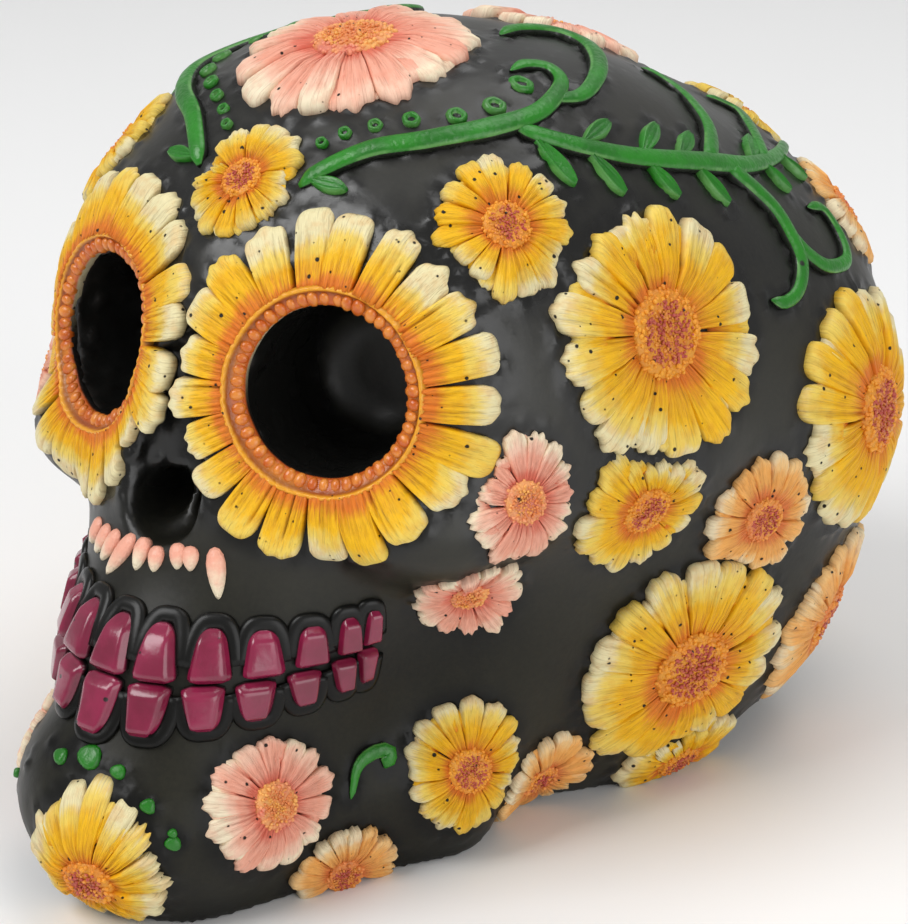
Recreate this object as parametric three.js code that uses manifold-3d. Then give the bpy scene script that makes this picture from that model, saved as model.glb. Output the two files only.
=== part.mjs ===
// Sugar skull ornament: a solid cast skull with flowers, vines, eye blooms and tooth rows set on it.
// Millimetres, +Z up, the face looks towards -Y, the origin lies on the flat base under the braincase.
import * as THREE from "three";
import { mergeVertices } from "three/addons/utils/BufferGeometryUtils.js";
import Module from "manifold-3d";

const wasm = await Module();
wasm.setup();

// Clearances: under a piece, the least under its rim, between two pieces, above the table
const SEAT_GAP = 0.62;
const SEAT_CUT = 0.3;
const PIECE_GAP = 0.4;
const BASE_GAP = 0.4;

// The skull is a blend of rounded lumps, mirrored in x. Each has a centre and a full size, or two ends
// and their thickness, and "soft" is the width over which it melts into the lumps named before it.
const BRAINCASE_WIDTH = 122;
const BRAINCASE_LENGTH = 107.5;
const BRAINCASE_HEIGHT = 104.5;
const BRAINCASE = { at: [0, 21, 54.5], size: [BRAINCASE_WIDTH, BRAINCASE_LENGTH, BRAINCASE_HEIGHT] };
const FOREHEAD = { at: [0, -11.5, 68.5], size: [97, 85, 97], fullness: 2.4, soft: 18 };
const NAPE = { at: [0, 11, 22], size: [102, 102, 73], soft: 16 };
const MUZZLE = { at: [0, -40, 48], size: [60, 60, 56] };
const FACE = { at: [0, -30, 70], size: [96, 58, 64], soft: 8 };
const GUMS = { at: [0, -46, 34], size: [49, 66, 40], soft: 6 };
const CHEEKBONE = { at: [31, -47, 57], size: [28, 22, 17], turn: 35, soft: 6 };
const CHEEK_ARCH = { from: [40, -38, 60], to: [49, -8, 61], thick: [13, 12], soft: 6 };
const NOSE_BRIDGE = { from: [0, -51, 88], to: [0, -60, 62], thick: [14, 18], soft: 6 };
const CHIN = { at: [0, -69, 14.5], size: [41, 43, 33.5] };
const JAW_SIDE = { from: [6, -70], to: [21, -37], thick: 20, top: 19, flare: 0.2, round: 8, soft: 8 };
const JAW_RAMUS = { from: [24, -36, 12], to: [33, -24, 46], thick: [22, 18], soft: 8 };
const THROAT = { at: [0, -36, 18], size: [48, 70, 60], soft: 8 };
const FACE_SOFT = 8;
const JAW_SOFT = 10;
const BASE_STOCK = 9;
const SKIN_CELL = 8;

// Eyes: a round socket in a raised pad that looks outwards and a little upwards
const EYE = { at: [20.8, -54.5, 76], splay: 16, lean: 8 };
const EYE_PAD = { wide: 50, tall: 50, deep: 20, soft: 4 };
const SOCKET_WIDTH = 24.4;
const SOCKET_FLOOR_WIDTH = 21;
const SOCKET_DEPTH = 20;
const SOCKET_BOWL = 5;
const SOCKET_SIDES = 24;
const RIM_WIDTH = 30;
const RIM_RISE = 2.6;
const RIM_SIDES = 18;
const BLOOM_WIDTH = 49;
const BLOOM_PETALS = 21;
const BLOOM_RISE = 2.2;
const BLOOM_NOTCH = 0.24;
const SHORTEST_PETAL = 1;

// Section of the rim from its inner foot round to its inner edge: share of its width and of its rise
const RIM_SECTION = [[0, 0], [1, 0], [0.9, 0.8], [0.6, 1], [0.45, 0.75], [0, 0.7], [0, 0]];

// Nose: an upside-down heart cut back to a floor, with its heights and the pull of its curves
const NOSE = { low: 54, high: 70, wide: 13, spine: 57, floor: -58, deep: 40 };
const NOSE_SHOULDER = 5;
const NOSE_LOBE_SAG = 1;
const NOSE_PEAK = 0.5;
const NOSE_NOTCH = 0.15;
const NOSE_MARGIN = 3;

// Flowers: heights, then shares of the radius or of the crown's height
const PETAL_EDGE = 1.2;
const PETAL_NOTCH = 0.17;
const PETAL_LEAN = 0.98;
const PETAL_FOLD = 0.6;
const CENTRE_SHARE = 0.32;
const CENTRE_DIP = 0.85;
const SMALL = { crown: 1.9, centre: 2.7, petals: 11, folded: false };
const LARGE = { crown: 2.7, centre: 3.4, petals: 14, folded: true };
const YELLOW = 0xf0b428;
const PINK = 0xeda99b;
const APRICOT = 0xee9a4a;

// Petals stop where the skin climbs or drops faster than these slopes.
const STEEPEST_CLIMB = 0.35;
const STEEPEST_DROP = 0.8;
const SLOPE_SLACK = 2;

// Flowers along the middle, each at a place near the skin
const MIDDLE_FLOWERS = [
  { name: "brow_flower", at: [0, -48, 101], width: 18, tall: 20.5, make: SMALL, color: YELLOW },
  { name: "crown_flower", at: [0, -23.5, 116.5], width: 37, tall: 36, make: LARGE, color: PINK },
  { name: "chin_flower", at: [3.5, -89.5, 9], width: 31, tall: 29, make: LARGE, color: YELLOW },
  { name: "rear_crown_flower", at: [0, 26, 111], width: 30, tall: 30, make: LARGE, color: PINK },
  { name: "back_flower", at: [0, 76, 62], width: 34, tall: 34, make: LARGE, color: YELLOW },
  { name: "nape_flower", at: [0, 65, 24], width: 22, tall: 22, make: SMALL, color: PINK },
];

// Flowers on the left, mirrored on the right
const SIDE_FLOWERS = [
  { name: "forehead_flower", at: [36, -35, 97.5], width: 20.5, tall: 22, make: SMALL, color: YELLOW },
  { name: "temple_flower", at: [49, -16, 80], width: 40.5, tall: 37, make: LARGE, color: YELLOW },
  { name: "cheek_arch_flower", at: [52, -22.5, 56], width: 23.5, tall: 23, make: SMALL, color: YELLOW },
  { name: "ear_flower", at: [57, 1, 48.5], width: 22, tall: 21, make: SMALL, color: APRICOT },
  { name: "side_flower", at: [60, 28, 58.5], width: 41, tall: 39, make: LARGE, color: YELLOW },
  { name: "lower_side_flower", at: [50.5, -7, 25], width: 39, tall: 38, make: LARGE, color: YELLOW },
  { name: "cheekbone_flower", at: [45.5, -43, 62], width: 16.5, tall: 21, make: SMALL, color: PINK },
  { name: "under_cheek_flower", at: [36, -43, 46], width: 17, tall: 17, make: SMALL, color: PINK },
  { name: "jaw_angle_flower", at: [35, -41.5, 16.5], width: 19, tall: 22.5, make: SMALL, color: YELLOW },
  { name: "behind_jaw_flower", at: [34, -24, 8.5], width: 18, tall: 20, make: SMALL, color: APRICOT },
  { name: "chin_side_flower", at: [21.5, -69.5, 18], width: 21.5, tall: 20.5, make: SMALL, color: PINK },
  { name: "jaw_edge_flower", at: [23.5, -57, 2.5], width: 18, tall: 17, make: SMALL, color: APRICOT },
  { name: "base_flower", at: [43, 1, 5], width: 25, tall: 21, make: SMALL, color: YELLOW },
  { name: "low_rear_flower", at: [52, 29.5, 21], width: 33, tall: 33, make: LARGE, color: APRICOT },
  { name: "high_rear_flower", at: [41, 48.5, 83], width: 23, tall: 21, make: SMALL, color: APRICOT },
  { name: "rear_top_flower", at: [18, 51, 93], width: 20, tall: 20, make: SMALL, color: YELLOW },
  { name: "rear_side_flower", at: [36, 62, 46], width: 24, tall: 24, make: SMALL, color: YELLOW },
  { name: "low_back_flower", at: [25, 57, 19], width: 20, tall: 20, make: SMALL, color: YELLOW },
];

// Vines on the left of the crown, mirrored on the right: points near the skin, and the stem's width at
// its root, its middle and its tip
const VINE_RISE = 1.8;
const STEM_SIDES = 5;
const BROW_STEM = {
  points: [
    [9.5, -47, 101.5], [12.5, -44, 104], [17, -40, 106.5], [23, -35, 107.5], [28, -28, 108.5],
    [30, -19.5, 109.5], [27.5, -10.5, 111.5], [24, -8.5, 113], [22, -11.5, 114], [22, -15, 114],
  ],
  root: 2.6, middle: 3.4, tip: 1.8,
};
const CROWN_HOOK = {
  points: [
    [29, -15, 110.5], [30, -9.5, 110], [28.5, -3.5, 111], [24.5, 3, 112], [18.5, 8, 113], [13.5, 7.5, 114],
    [12, 0.5, 116], [12.5, -5, 116],
  ],
  root: 2, middle: 3.2, tip: 2,
};
const SIDE_STEM = {
  points: [
    [29, -24.5, 109], [32, -23, 107.5], [36, -17, 105], [39.5, -7, 102], [41.5, 6, 99], [41.5, 19, 96],
    [38, 32.5, 94], [31.5, 46, 92.5],
  ],
  root: 2.6, middle: 3.4, tip: 1.8,
};
const FRONT_SPUR = {
  points: [[41.5, 7.5, 98.8], [37, 14.5, 101.5], [33, 17.5, 103.5], [27, 20, 106], [22, 18.5, 108.5]],
  root: 3, middle: 2.6, tip: 1.4,
};
const REAR_SPUR = {
  points: [[40, 25.5, 95], [32.5, 33.5, 97.5], [26, 39.5, 98.5], [24, 34, 101.5]],
  root: 2.6, middle: 2.4, tip: 1.4,
};
const TEMPLE_CURL = {
  points: [
    [41.8, 11.5, 97.5], [46, 17, 91], [49.5, 18, 87], [52, 17.5, 83], [54, 14, 80], [54, 10, 79],
    [53.5, 7.5, 80],
  ],
  root: 3.2, middle: 3, tip: 1.8,
};
const SIDE_HOOK = {
  points: [
    [49.2, 18, 87.3], [51.5, 20.5, 83.5], [53, 24.5, 81], [52, 31, 80], [49.5, 34, 82.5], [46, 34, 86.5],
    [46, 29.5, 88],
  ],
  root: 2.4, middle: 2.4, tip: 1.6,
};
const VINE_STEMS = [BROW_STEM, CROWN_HOOK, SIDE_STEM, FRONT_SPUR, REAR_SPUR, TEMPLE_CURL, SIDE_HOOK];
const JAW_CURL = {
  points: [[25.5, -57, 15], [24.5, -54.5, 19], [25.5, -51.5, 20.5], [26.5, -49.5, 20], [27, -51, 18]],
  root: 1.4, middle: 2.2, tip: 1.4,
};

// Leaves along the vines: root and tip, and the shape between them as shares of the leaf's width
const LEAF_WIDTH = 3.4;
const LEAF_RISE = 1.6;
const LEAF_SIDES = 3;
const LEAF_STEPS = 2;
const LEAF_ENDS = 0.35;
const LEAF_SWELL = { start: 0.15, run: 0.75 };
const LEAVES = [
  [[10.5, -46, 102], [17, -45.5, 102]],
  [[35.6, -16.5, 105.4], [34.5, -8, 107]],
  [[39.2, -6.8, 102.4], [36, 1.5, 105]],
  [[40.5, 0.5, 100.4], [37.5, 8.5, 102.5]],
  [[40.8, 21, 95.9], [35, 29, 97.5]],
  [[32, -23.5, 107.3], [39, -22, 101]],
  [[36.4, -16.8, 104.6], [42, -14, 98.5]],
  [[39.8, -6.8, 101.5], [44, -3.5, 96]],
  [[41.6, 3.5, 99.2], [46, 7, 93]],
  [[40.6, 24, 95], [44.5, 27, 90.5]],
  [[37.8, 33.5, 93.6], [41.5, 37, 90]],
];

// Tooth rows: a strip along the dental arch that swells into a pillow at each tooth
const TEETH_PER_ROW = 13;
const TOOTH_PITCH = 7.35;
const TOOTH_CROWDING = 0.0185;
const TOOTH_SHOULDERS = 0.76;
const TOOTH_THICK = 2.6;
const TOOTH_EDGE_SHARE = 0.7;
const GUM_THICK = 0.8;
const ARCH_AXIS_Y = -46;
const ARCH_END = 84;
const BITE_LIFT = 2.6;
const BITE_SAG = 2.3;
const SAG_REACH = 1.6;
const UPPER_ROW = { bite: 37, gum: 44.2, backGum: 44.6, gumSag: 2 };
const LOWER_ROW = { bite: 36.2, gum: 28.2, backGum: 33.2, gumSag: 0 };

const SKULL_BLACK = 0x2b2a26;
const RIM_ORANGE = 0xdf7a33;
const VINE_GREEN = 0x2c8a35;
const TOOTH_RASPBERRY = 0x8f2550;

// Fineness of the search for the skin
const SLOPE_SPAN = 0.2;
const FACING_SPAN = 2.5;
const CAREFUL_SHARE = 0.75;
const NEAR_ENOUGH = 0.004;
const FACET_MERGE = 0.08;
const ARCH_TURN = 0.25;
const PATH_STEP = 1;

const { degToRad, lerp, clamp } = THREE.MathUtils;
const vector = (p) => new THREE.Vector3(...p);
const flipX = ([x, y, z]) => [-x, y, z];

// Distances to the lumps, negative inside

function blend(a, b, width) {
  const overlap = Math.max(width - Math.abs(a - b), 0) / width;
  return Math.min(a, b) - (overlap * overlap * width) / 4;
}

function turned(p, angle) {
  const s = Math.sin(angle);
  const c = Math.cos(angle);
  return [c * p[0] + s * p[1], -s * p[0] + c * p[1], p[2]];
}

function ovoid(p, size) {
  const scaled = p.map((v, i) => (2 * v) / size[i]);
  const reach = Math.hypot(...scaled);
  const slope = 2 * Math.hypot(...scaled.map((v, i) => v / size[i]));
  return slope === 0 ? -Math.min(...size) / 2 : (reach * (reach - 1)) / slope;
}

// An ovoid whose section is squarer than an ellipse
function fullOvoid(p, size, fullness) {
  const sum = p.reduce((total, v, i) => total + Math.abs((2 * v) / size[i]) ** fullness, 0);
  const reach = sum ** (1 / fullness);
  return reach === 0 ? -Math.min(...size) / 2 : Math.hypot(...p) * (1 - 1 / reach);
}

function lump(p, shape) {
  let local = p.map((v, i) => v - shape.at[i]);
  if (shape.turn) local = turned(local, degToRad(shape.turn));
  return shape.fullness ? fullOvoid(local, shape.size, shape.fullness) : ovoid(local, shape.size);
}

function shareAlong(local, along) {
  const dot = (a, b) => a.reduce((sum, v, i) => sum + v * b[i], 0);
  return clamp(dot(local, along) / dot(along, along), 0, 1);
}

function bar(p, shape) {
  const along = shape.to.map((v, i) => v - shape.from[i]);
  const local = p.map((v, i) => v - shape.from[i]);
  const t = shareAlong(local, along);
  const thick = lerp(shape.thick[0], shape.thick[1], t);
  return Math.hypot(...local.map((v, i) => v - t * along[i])) - thick / 2;
}

// Each half of the jaw is an upright wall that flares outwards and has a rounded top.
function jawSide(p) {
  const { from, to, thick, top, flare, round } = JAW_SIDE;
  const along = to.map((v, i) => v - from[i]);
  const local = from.map((v, i) => p[i] - v);
  const t = shareAlong(local, along);
  const half = thick / 2 + flare * p[2];
  const side = Math.hypot(...local.map((v, i) => v - t * along[i])) - half + round;
  const above = p[2] - top + round;
  return Math.hypot(Math.max(side, 0), Math.max(above, 0)) + Math.min(Math.max(side, above), 0) - round;
}

function eyePad(p) {
  const [x, y, z] = turned(p.map((v, i) => v - EYE.at[i]), degToRad(EYE.splay));
  const s = Math.sin(degToRad(EYE.lean));
  const c = Math.cos(degToRad(EYE.lean));
  const { wide, tall, deep } = EYE_PAD;
  return ovoid([x, c * y - s * z - deep / 2, s * y + c * z], [wide, deep, tall]);
}

function skullForm(x, y, z) {
  const p = [Math.abs(x), y, z];
  let head = blend(lump(p, BRAINCASE), lump(p, FOREHEAD), FOREHEAD.soft);
  head = blend(head, lump(p, NAPE), NAPE.soft);
  let face = blend(lump(p, MUZZLE), lump(p, FACE), FACE.soft);
  face = blend(face, lump(p, GUMS), GUMS.soft);
  face = blend(face, eyePad(p), EYE_PAD.soft);
  face = blend(face, lump(p, CHEEKBONE), CHEEKBONE.soft);
  face = blend(face, bar(p, CHEEK_ARCH), CHEEK_ARCH.soft);
  face = blend(face, bar(p, NOSE_BRIDGE), NOSE_BRIDGE.soft);
  let jaw = blend(lump(p, CHIN), jawSide(p), JAW_SIDE.soft);
  jaw = blend(jaw, bar(p, JAW_RAMUS), JAW_RAMUS.soft);
  jaw = blend(jaw, lump(p, THROAT), THROAT.soft);
  const whole = blend(blend(head, face, FACE_SOFT), jaw, JAW_SOFT);
  return Math.max(whole, -BASE_STOCK - z);
}

const heightAbove = (p) => skullForm(p.x, p.y, p.z);

function outward(p, span = SLOPE_SPAN) {
  const slope = (axis) => {
    const step = new THREE.Vector3().setComponent(axis, span);
    return heightAbove(p.clone().add(step)) - heightAbove(p.clone().sub(step));
  };
  return new THREE.Vector3(slope(0), slope(1), slope(2)).normalize();
}

// The nearest point that lies the given height above the skin
function settle(p, height) {
  const spot = p.clone();
  for (let turn = 0; turn < 12; turn++) spot.addScaledVector(outward(spot), height - heightAbove(spot));
  return spot;
}

// Closed solids

function volume(geometry) {
  const spots = geometry.attributes.position;
  const corner = (i) => new THREE.Vector3().fromBufferAttribute(spots, geometry.index.array[i]);
  let sum = 0;
  for (let i = 0; i < geometry.index.count; i += 3) {
    sum += corner(i).dot(corner(i + 1).cross(corner(i + 2)));
  }
  return sum / 6;
}

function closed(geometry, tolerance = 1e-4) {
  geometry.deleteAttribute("normal");
  geometry.deleteAttribute("uv");
  const merged = mergeVertices(geometry, tolerance);
  const index = merged.index.array;
  const kept = [];
  for (let i = 0; i < index.length; i += 3) {
    const [a, b, c] = index.slice(i, i + 3);
    if (a !== b && b !== c && c !== a) kept.push(a, b, c);
  }
  merged.setIndex(kept);
  if (volume(merged) < 0) merged.setIndex(kept.reverse());
  return merged;
}

function solid(geometry) {
  const vertProperties = new Float32Array(geometry.attributes.position.array);
  const triVerts = new Uint32Array(geometry.index.array);
  return new wasm.Manifold(new wasm.Mesh({ numProp: 3, vertProperties, triVerts }));
}

function surface(manifold) {
  const mesh = manifold.getMesh();
  const geometry = new THREE.BufferGeometry();
  geometry.setAttribute("position", new THREE.BufferAttribute(mesh.vertProperties, 3));
  geometry.setIndex(new THREE.BufferAttribute(mesh.triVerts, 1));
  return geometry;
}

function reshape(geometry, place) {
  const spots = geometry.attributes.position;
  for (let i = 0; i < spots.count; i++) {
    const moved = place(new THREE.Vector3().fromBufferAttribute(spots, i));
    spots.setXYZ(i, moved.x, moved.y, moved.z);
  }
  return closed(geometry, 1e-3);
}

function mirrored(geometry) {
  const copy = geometry.clone();
  copy.scale(-1, 1, 1);
  return closed(copy);
}

// Skull: the skin of the form, drawn through the cells of a grid that it crosses

const skinBox = (() => {
  const box = new THREE.Box3();
  for (const { at, size } of [BRAINCASE, FOREHEAD, NAPE, FACE, MUZZLE, GUMS, CHIN, THROAT, CHEEKBONE]) {
    const half = vector(size).divideScalar(2);
    box.expandByPoint(vector(at).add(half));
    box.expandByPoint(vector(flipX(at)).sub(half));
  }
  box.min.z = -BASE_STOCK;
  return box.expandByScalar(FOREHEAD.soft / 4 + 2 * SKIN_CELL);
})();

function skin() {
  const cell = SKIN_CELL;
  const low = skinBox.min;
  const [nx, ny, nz] = skinBox.getSize(new THREE.Vector3()).toArray().map((v) => Math.ceil(v / cell) + 1);
  const at = (i, j, k) => (k * ny + j) * nx + i;
  const spot = (i, j, k) => new THREE.Vector3(i, j, k).multiplyScalar(cell).add(low);
  const heights = new Float64Array(nx * ny * nz);
  for (let k = 0; k < nz; k++)
    for (let j = 0; j < ny; j++)
      for (let i = 0; i < nx; i++) heights[at(i, j, k)] = heightAbove(spot(i, j, k));
  const corners = [];
  const numbers = new Map();
  const cellReach = 0.6 * cell;
  const corner = (i, j, k) => {
    const key = at(i, j, k);
    if (!numbers.has(key)) {
      const centre = spot(i + 0.5, j + 0.5, k + 0.5);
      numbers.set(key, corners.length);
      corners.push(settle(centre, 0).sub(centre).clampScalar(-cellReach, cellReach).add(centre));
    }
    return numbers.get(key);
  };
  const faces = [];
  const across = (a, b) => corners[a].distanceTo(corners[b]);
  const crossing = (start, end, ...around) => {
    const inside = heights[at(...start)] < 0;
    if (inside === heights[at(...end)] < 0) return;
    const ring = around.map((step) => corner(...start.map((v, i) => v - step[i])));
    if (!inside) ring.reverse();
    if (across(ring[0], ring[2]) > across(ring[1], ring[3])) ring.push(ring.shift());
    faces.push(ring[0], ring[1], ring[2], ring[0], ring[2], ring[3]);
  };
  for (let k = 1; k < nz - 1; k++)
    for (let j = 1; j < ny - 1; j++)
      for (let i = 1; i < nx - 1; i++) {
        crossing([i, j, k], [i + 1, j, k], [0, 1, 1], [0, 0, 1], [0, 0, 0], [0, 1, 0]);
        crossing([i, j, k], [i, j + 1, k], [1, 0, 1], [1, 0, 0], [0, 0, 0], [0, 0, 1]);
        crossing([i, j, k], [i, j, k + 1], [1, 1, 0], [0, 1, 0], [0, 0, 0], [1, 0, 0]);
      }
  const geometry = new THREE.BufferGeometry().setFromPoints(corners);
  geometry.setIndex(faces);
  return closed(geometry);
}

const eyeFrame = (() => {
  const splay = degToRad(EYE.splay);
  const lean = degToRad(EYE.lean);
  const level = new THREE.Vector3(Math.sin(splay), -Math.cos(splay), 0);
  const facing = level.multiplyScalar(Math.cos(lean)).setZ(Math.sin(lean));
  const across = new THREE.Vector3(0, 0, 1).cross(facing).normalize();
  return { at: vector(EYE.at), facing, across, up: facing.clone().cross(across) };
})();

function socketCutter() {
  const bowl = new THREE.EllipseCurve(
    0, SOCKET_BOWL - SOCKET_DEPTH, SOCKET_FLOOR_WIDTH / 2, SOCKET_BOWL, -Math.PI / 2, 0,
  );
  const mouth = SOCKET_WIDTH / 2;
  const past = EYE_PAD.deep;
  const walls = [[mouth, 0], [mouth, past], [0, past]].map((p) => new THREE.Vector2(...p));
  const cup = new THREE.LatheGeometry([...bowl.getPoints(2), ...walls], SOCKET_SIDES);
  const { at, facing, across, up } = eyeFrame;
  cup.applyMatrix4(new THREE.Matrix4().makeBasis(across, facing, up.clone().negate()).setPosition(at));
  return closed(cup);
}

function noseCutter() {
  const { low, high, wide, spine, floor, deep } = NOSE;
  const half = wide / 2;
  const shoulder = spine + NOSE_SHOULDER;
  const sag = low - NOSE_LOBE_SAG;
  const heart = new THREE.Shape();
  heart.moveTo(0, high);
  heart.bezierCurveTo(half * NOSE_PEAK, high, half, shoulder, half, spine);
  heart.bezierCurveTo(half, sag, half * NOSE_NOTCH, sag, 0, spine);
  heart.bezierCurveTo(-half * NOSE_NOTCH, sag, -half, sag, -half, spine);
  heart.bezierCurveTo(-half, shoulder, -half * NOSE_PEAK, high, 0, high);
  const hole = new THREE.ExtrudeGeometry(heart, { depth: deep, bevelEnabled: false, curveSegments: 5 });
  hole.rotateX(Math.PI / 2);
  hole.translate(0, floor, 0);
  return closed(hole);
}

const skullSkin = skin();

function skull() {
  const size = skinBox.getSize(new THREE.Vector3());
  const middle = skinBox.getCenter(new THREE.Vector3());
  const under = new THREE.BoxGeometry(size.x, size.y, -skinBox.min.z);
  under.translate(middle.x, middle.y, skinBox.min.z / 2);
  const socket = socketCutter();
  return surface(
    solid(skullSkin)
      .subtract(solid(closed(under)))
      .subtract(solid(socket))
      .subtract(solid(mirrored(socket)))
      .subtract(solid(noseCutter())),
  );
}

// The skin grown by the least clearance trims whatever would touch the skull.
const seatCutter = solid(reshape(skullSkin.clone(), (p) => p.addScaledVector(outward(p), SEAT_CUT)));

function seated(geometry) {
  const piece = solid(geometry);
  const trimmed = piece.subtract(seatCutter);
  return trimmed.volume() < piece.volume() - 1e-6 ? surface(trimmed.simplify(FACET_MERGE)) : geometry;
}

// Pieces that lie on the skin have a frame there, and fall along its facing on to the skin.

function skinFrame(place) {
  const at = settle(vector(place), 0);
  const facing = outward(at, FACING_SPAN);
  const upright = facing.angleTo(new THREE.Vector3(0, 0, 1)) > Math.PI / 5;
  const across = new THREE.Vector3(0, upright ? 0 : 1, upright ? 1 : 0).cross(facing).normalize();
  return { at, facing, across, up: facing.clone().cross(across) };
}

function onSkin({ at, facing, across, up }, angle, radius) {
  const spot = at.clone();
  spot.addScaledVector(across, radius * Math.cos(angle)).addScaledVector(up, radius * Math.sin(angle));
  const reach = radius + SLOPE_SLACK;
  let height = 2 * STEEPEST_CLIMB * reach;
  while (height > -2 * STEEPEST_DROP * reach) {
    const above = heightAbove(spot.clone().addScaledVector(facing, height)) - SEAT_GAP;
    if (above < NEAR_ENOUGH) return spot.addScaledVector(facing, height);
    height -= Math.max(CAREFUL_SHARE * above, NEAR_ENOUGH);
  }
  return null;
}

// How far a petal can run before it meets the base, a neighbour or a step in the skin
function petalReach(frame, angle, longest, limits) {
  const fits = (radius) => {
    const spot = onSkin(frame, angle, radius);
    if (!spot || spot.z + Math.min(frame.facing.z, 0) * PETAL_EDGE < BASE_GAP) return false;
    const slope = spot.clone().sub(frame.at).dot(frame.facing) / (radius + SLOPE_SLACK);
    return slope < STEEPEST_CLIMB && slope > -STEEPEST_DROP && limits.every((clear) => clear(spot));
  };
  if (fits(longest)) return longest;
  let shortest = 0;
  let tooLong = longest;
  for (let turn = 0; turn < 9; turn++) {
    const middle = (shortest + tooLong) / 2;
    if (fits(middle)) shortest = middle;
    else tooLong = middle;
  }
  return shortest;
}

// A revolved profile of [radius, height] points, with its rim drawn in to petals and laid on the skin
function relief(frame, profile, segments, radiusAt) {
  const lathe = new THREE.LatheGeometry(profile.map((p) => new THREE.Vector2(...p)), segments);
  return reshape(lathe, (p) => {
    const turn = Math.round((Math.atan2(p.x, p.z) / (2 * Math.PI)) * segments);
    const petal = (turn + segments) % segments;
    const angle = (petal * 2 * Math.PI) / segments;
    const spot = onSkin(frame, angle, radiusAt(Math.hypot(p.x, p.z), petal)) ?? settle(frame.at, SEAT_GAP);
    return spot.addScaledVector(frame.facing, p.y);
  });
}

function flower({ frame, width, tall, make }, limits) {
  const radius = width / 2;
  const segments = 2 * make.petals;
  const profile = [[0, 0], [radius, 0], [radius * PETAL_LEAN, PETAL_EDGE]];
  profile.push([radius * CENTRE_SHARE, make.crown * CENTRE_DIP], [0, make.centre]);
  if (make.folded) {
    profile.splice(3, 0, [radius * PETAL_FOLD, make.crown]);
    profile.splice(1, 0, [radius * PETAL_FOLD, 0]);
  }
  const shares = [];
  for (let i = 0; i < segments; i++) {
    const angle = (i * 2 * Math.PI) / segments;
    const edge = 1 / Math.hypot((2 * Math.cos(angle)) / width, (2 * Math.sin(angle)) / tall);
    shares.push(petalReach(frame, angle, i % 2 ? edge * (1 - PETAL_NOTCH) : edge, limits) / radius);
  }
  return relief(frame, profile, segments, (r, i) => r * shares[i]);
}

// Eye blooms: a ring of petals round an orange rim

function bloom(limits) {
  const inner = RIM_WIDTH / 2 + PIECE_GAP;
  const outer = BLOOM_WIDTH / 2;
  const middle = (inner + outer) / 2;
  const segments = 2 * BLOOM_PETALS;
  const top = [[outer, PETAL_EDGE], [middle, BLOOM_RISE], [inner, BLOOM_RISE]];
  const reaches = [];
  for (let i = 0; i < segments; i++) {
    const longest = i % 2 ? lerp(outer, inner, BLOOM_NOTCH) : outer;
    const reach = petalReach(eyeFrame, (i * 2 * Math.PI) / segments, longest, limits);
    reaches.push(Math.max(reach, inner + SHORTEST_PETAL));
  }
  const stretch = (r, i) => inner + ((r - inner) * (reaches[i] - inner)) / (outer - inner);
  return relief(eyeFrame, [[inner, 0], [outer, 0], ...top, [inner, 0]], segments, stretch);
}

function rim() {
  const inner = SOCKET_WIDTH / 2 + PIECE_GAP;
  const profile = RIM_SECTION.map(([wide, high]) => [lerp(inner, RIM_WIDTH / 2, wide), high * RIM_RISE]);
  return relief(eyeFrame, profile, RIM_SIDES, (r) => r);
}

// Vines: bars laid along the skin, round above and flat underneath

const skinPath = (points) => new THREE.CatmullRomCurve3(points.map((p) => settle(vector(p), SEAT_GAP)));

function strand(points, rise, sides, steps, widthAt) {
  const path = skinPath(points);
  const stick = new THREE.CylinderGeometry(1, 1, 1, sides, steps);
  return reshape(stick, (p) => {
    const t = clamp(p.y + 0.5, 0, 1);
    const spot = settle(path.getPointAt(t), SEAT_GAP);
    const facing = outward(spot);
    const across = path.getTangentAt(t).cross(facing).normalize();
    spot.addScaledVector(across, (p.x * widthAt(t)) / 2);
    return spot.addScaledVector(facing, Math.max(p.z, 0) * rise);
  });
}

function stem({ points, root, middle, tip }) {
  const swell = (t) => (t < 0.5 ? lerp(root, middle, 2 * t) : lerp(middle, tip, 2 * t - 1));
  return strand(points, VINE_RISE, STEM_SIDES, points.length - 1, swell);
}

function leaf(points) {
  const swell = (t) => Math.sin(Math.PI * (LEAF_SWELL.start + LEAF_SWELL.run * t));
  const shape = (t) => LEAF_WIDTH * lerp(LEAF_ENDS, 1, swell(t));
  return strand(points, LEAF_RISE, LEAF_SIDES, LEAF_STEPS, shape);
}

function vine() {
  const pieces = [...VINE_STEMS.map(stem), ...LEAVES.map(leaf)];
  return surface(pieces.map(solid).reduce((whole, piece) => whole.add(piece)).simplify(FACET_MERGE));
}

// Tooth rows

function onArch(angle, z) {
  const spot = new THREE.Vector3(0, ARCH_AXIS_Y, z);
  const out = new THREE.Vector3(Math.sin(angle), -Math.cos(angle), 0);
  let radius = GUMS.size[1];
  for (let step = 0; step < 80; step++) {
    radius -= CAREFUL_SHARE * (heightAbove(spot.clone().addScaledVector(out, radius)) - SEAT_GAP);
  }
  return { spot: spot.addScaledVector(out, radius), out };
}

// Angles of the teeth round the arch. They stand closer together towards the back.
function archAngles(z) {
  const step = degToRad(ARCH_TURN);
  const angles = [0];
  let walked = 0;
  for (let angle = 0; angles.length <= (TEETH_PER_ROW - 1) / 2; angle += step) {
    walked += onArch(angle, z).spot.distanceTo(onArch(angle + step, z).spot);
    const next = TOOTH_PITCH * angles.length - TOOTH_CROWDING * angles.length ** 3;
    if (walked >= next) angles.push(angle + step);
  }
  return [...angles.slice(1).reverse().map((a) => -a), ...angles];
}

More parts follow.
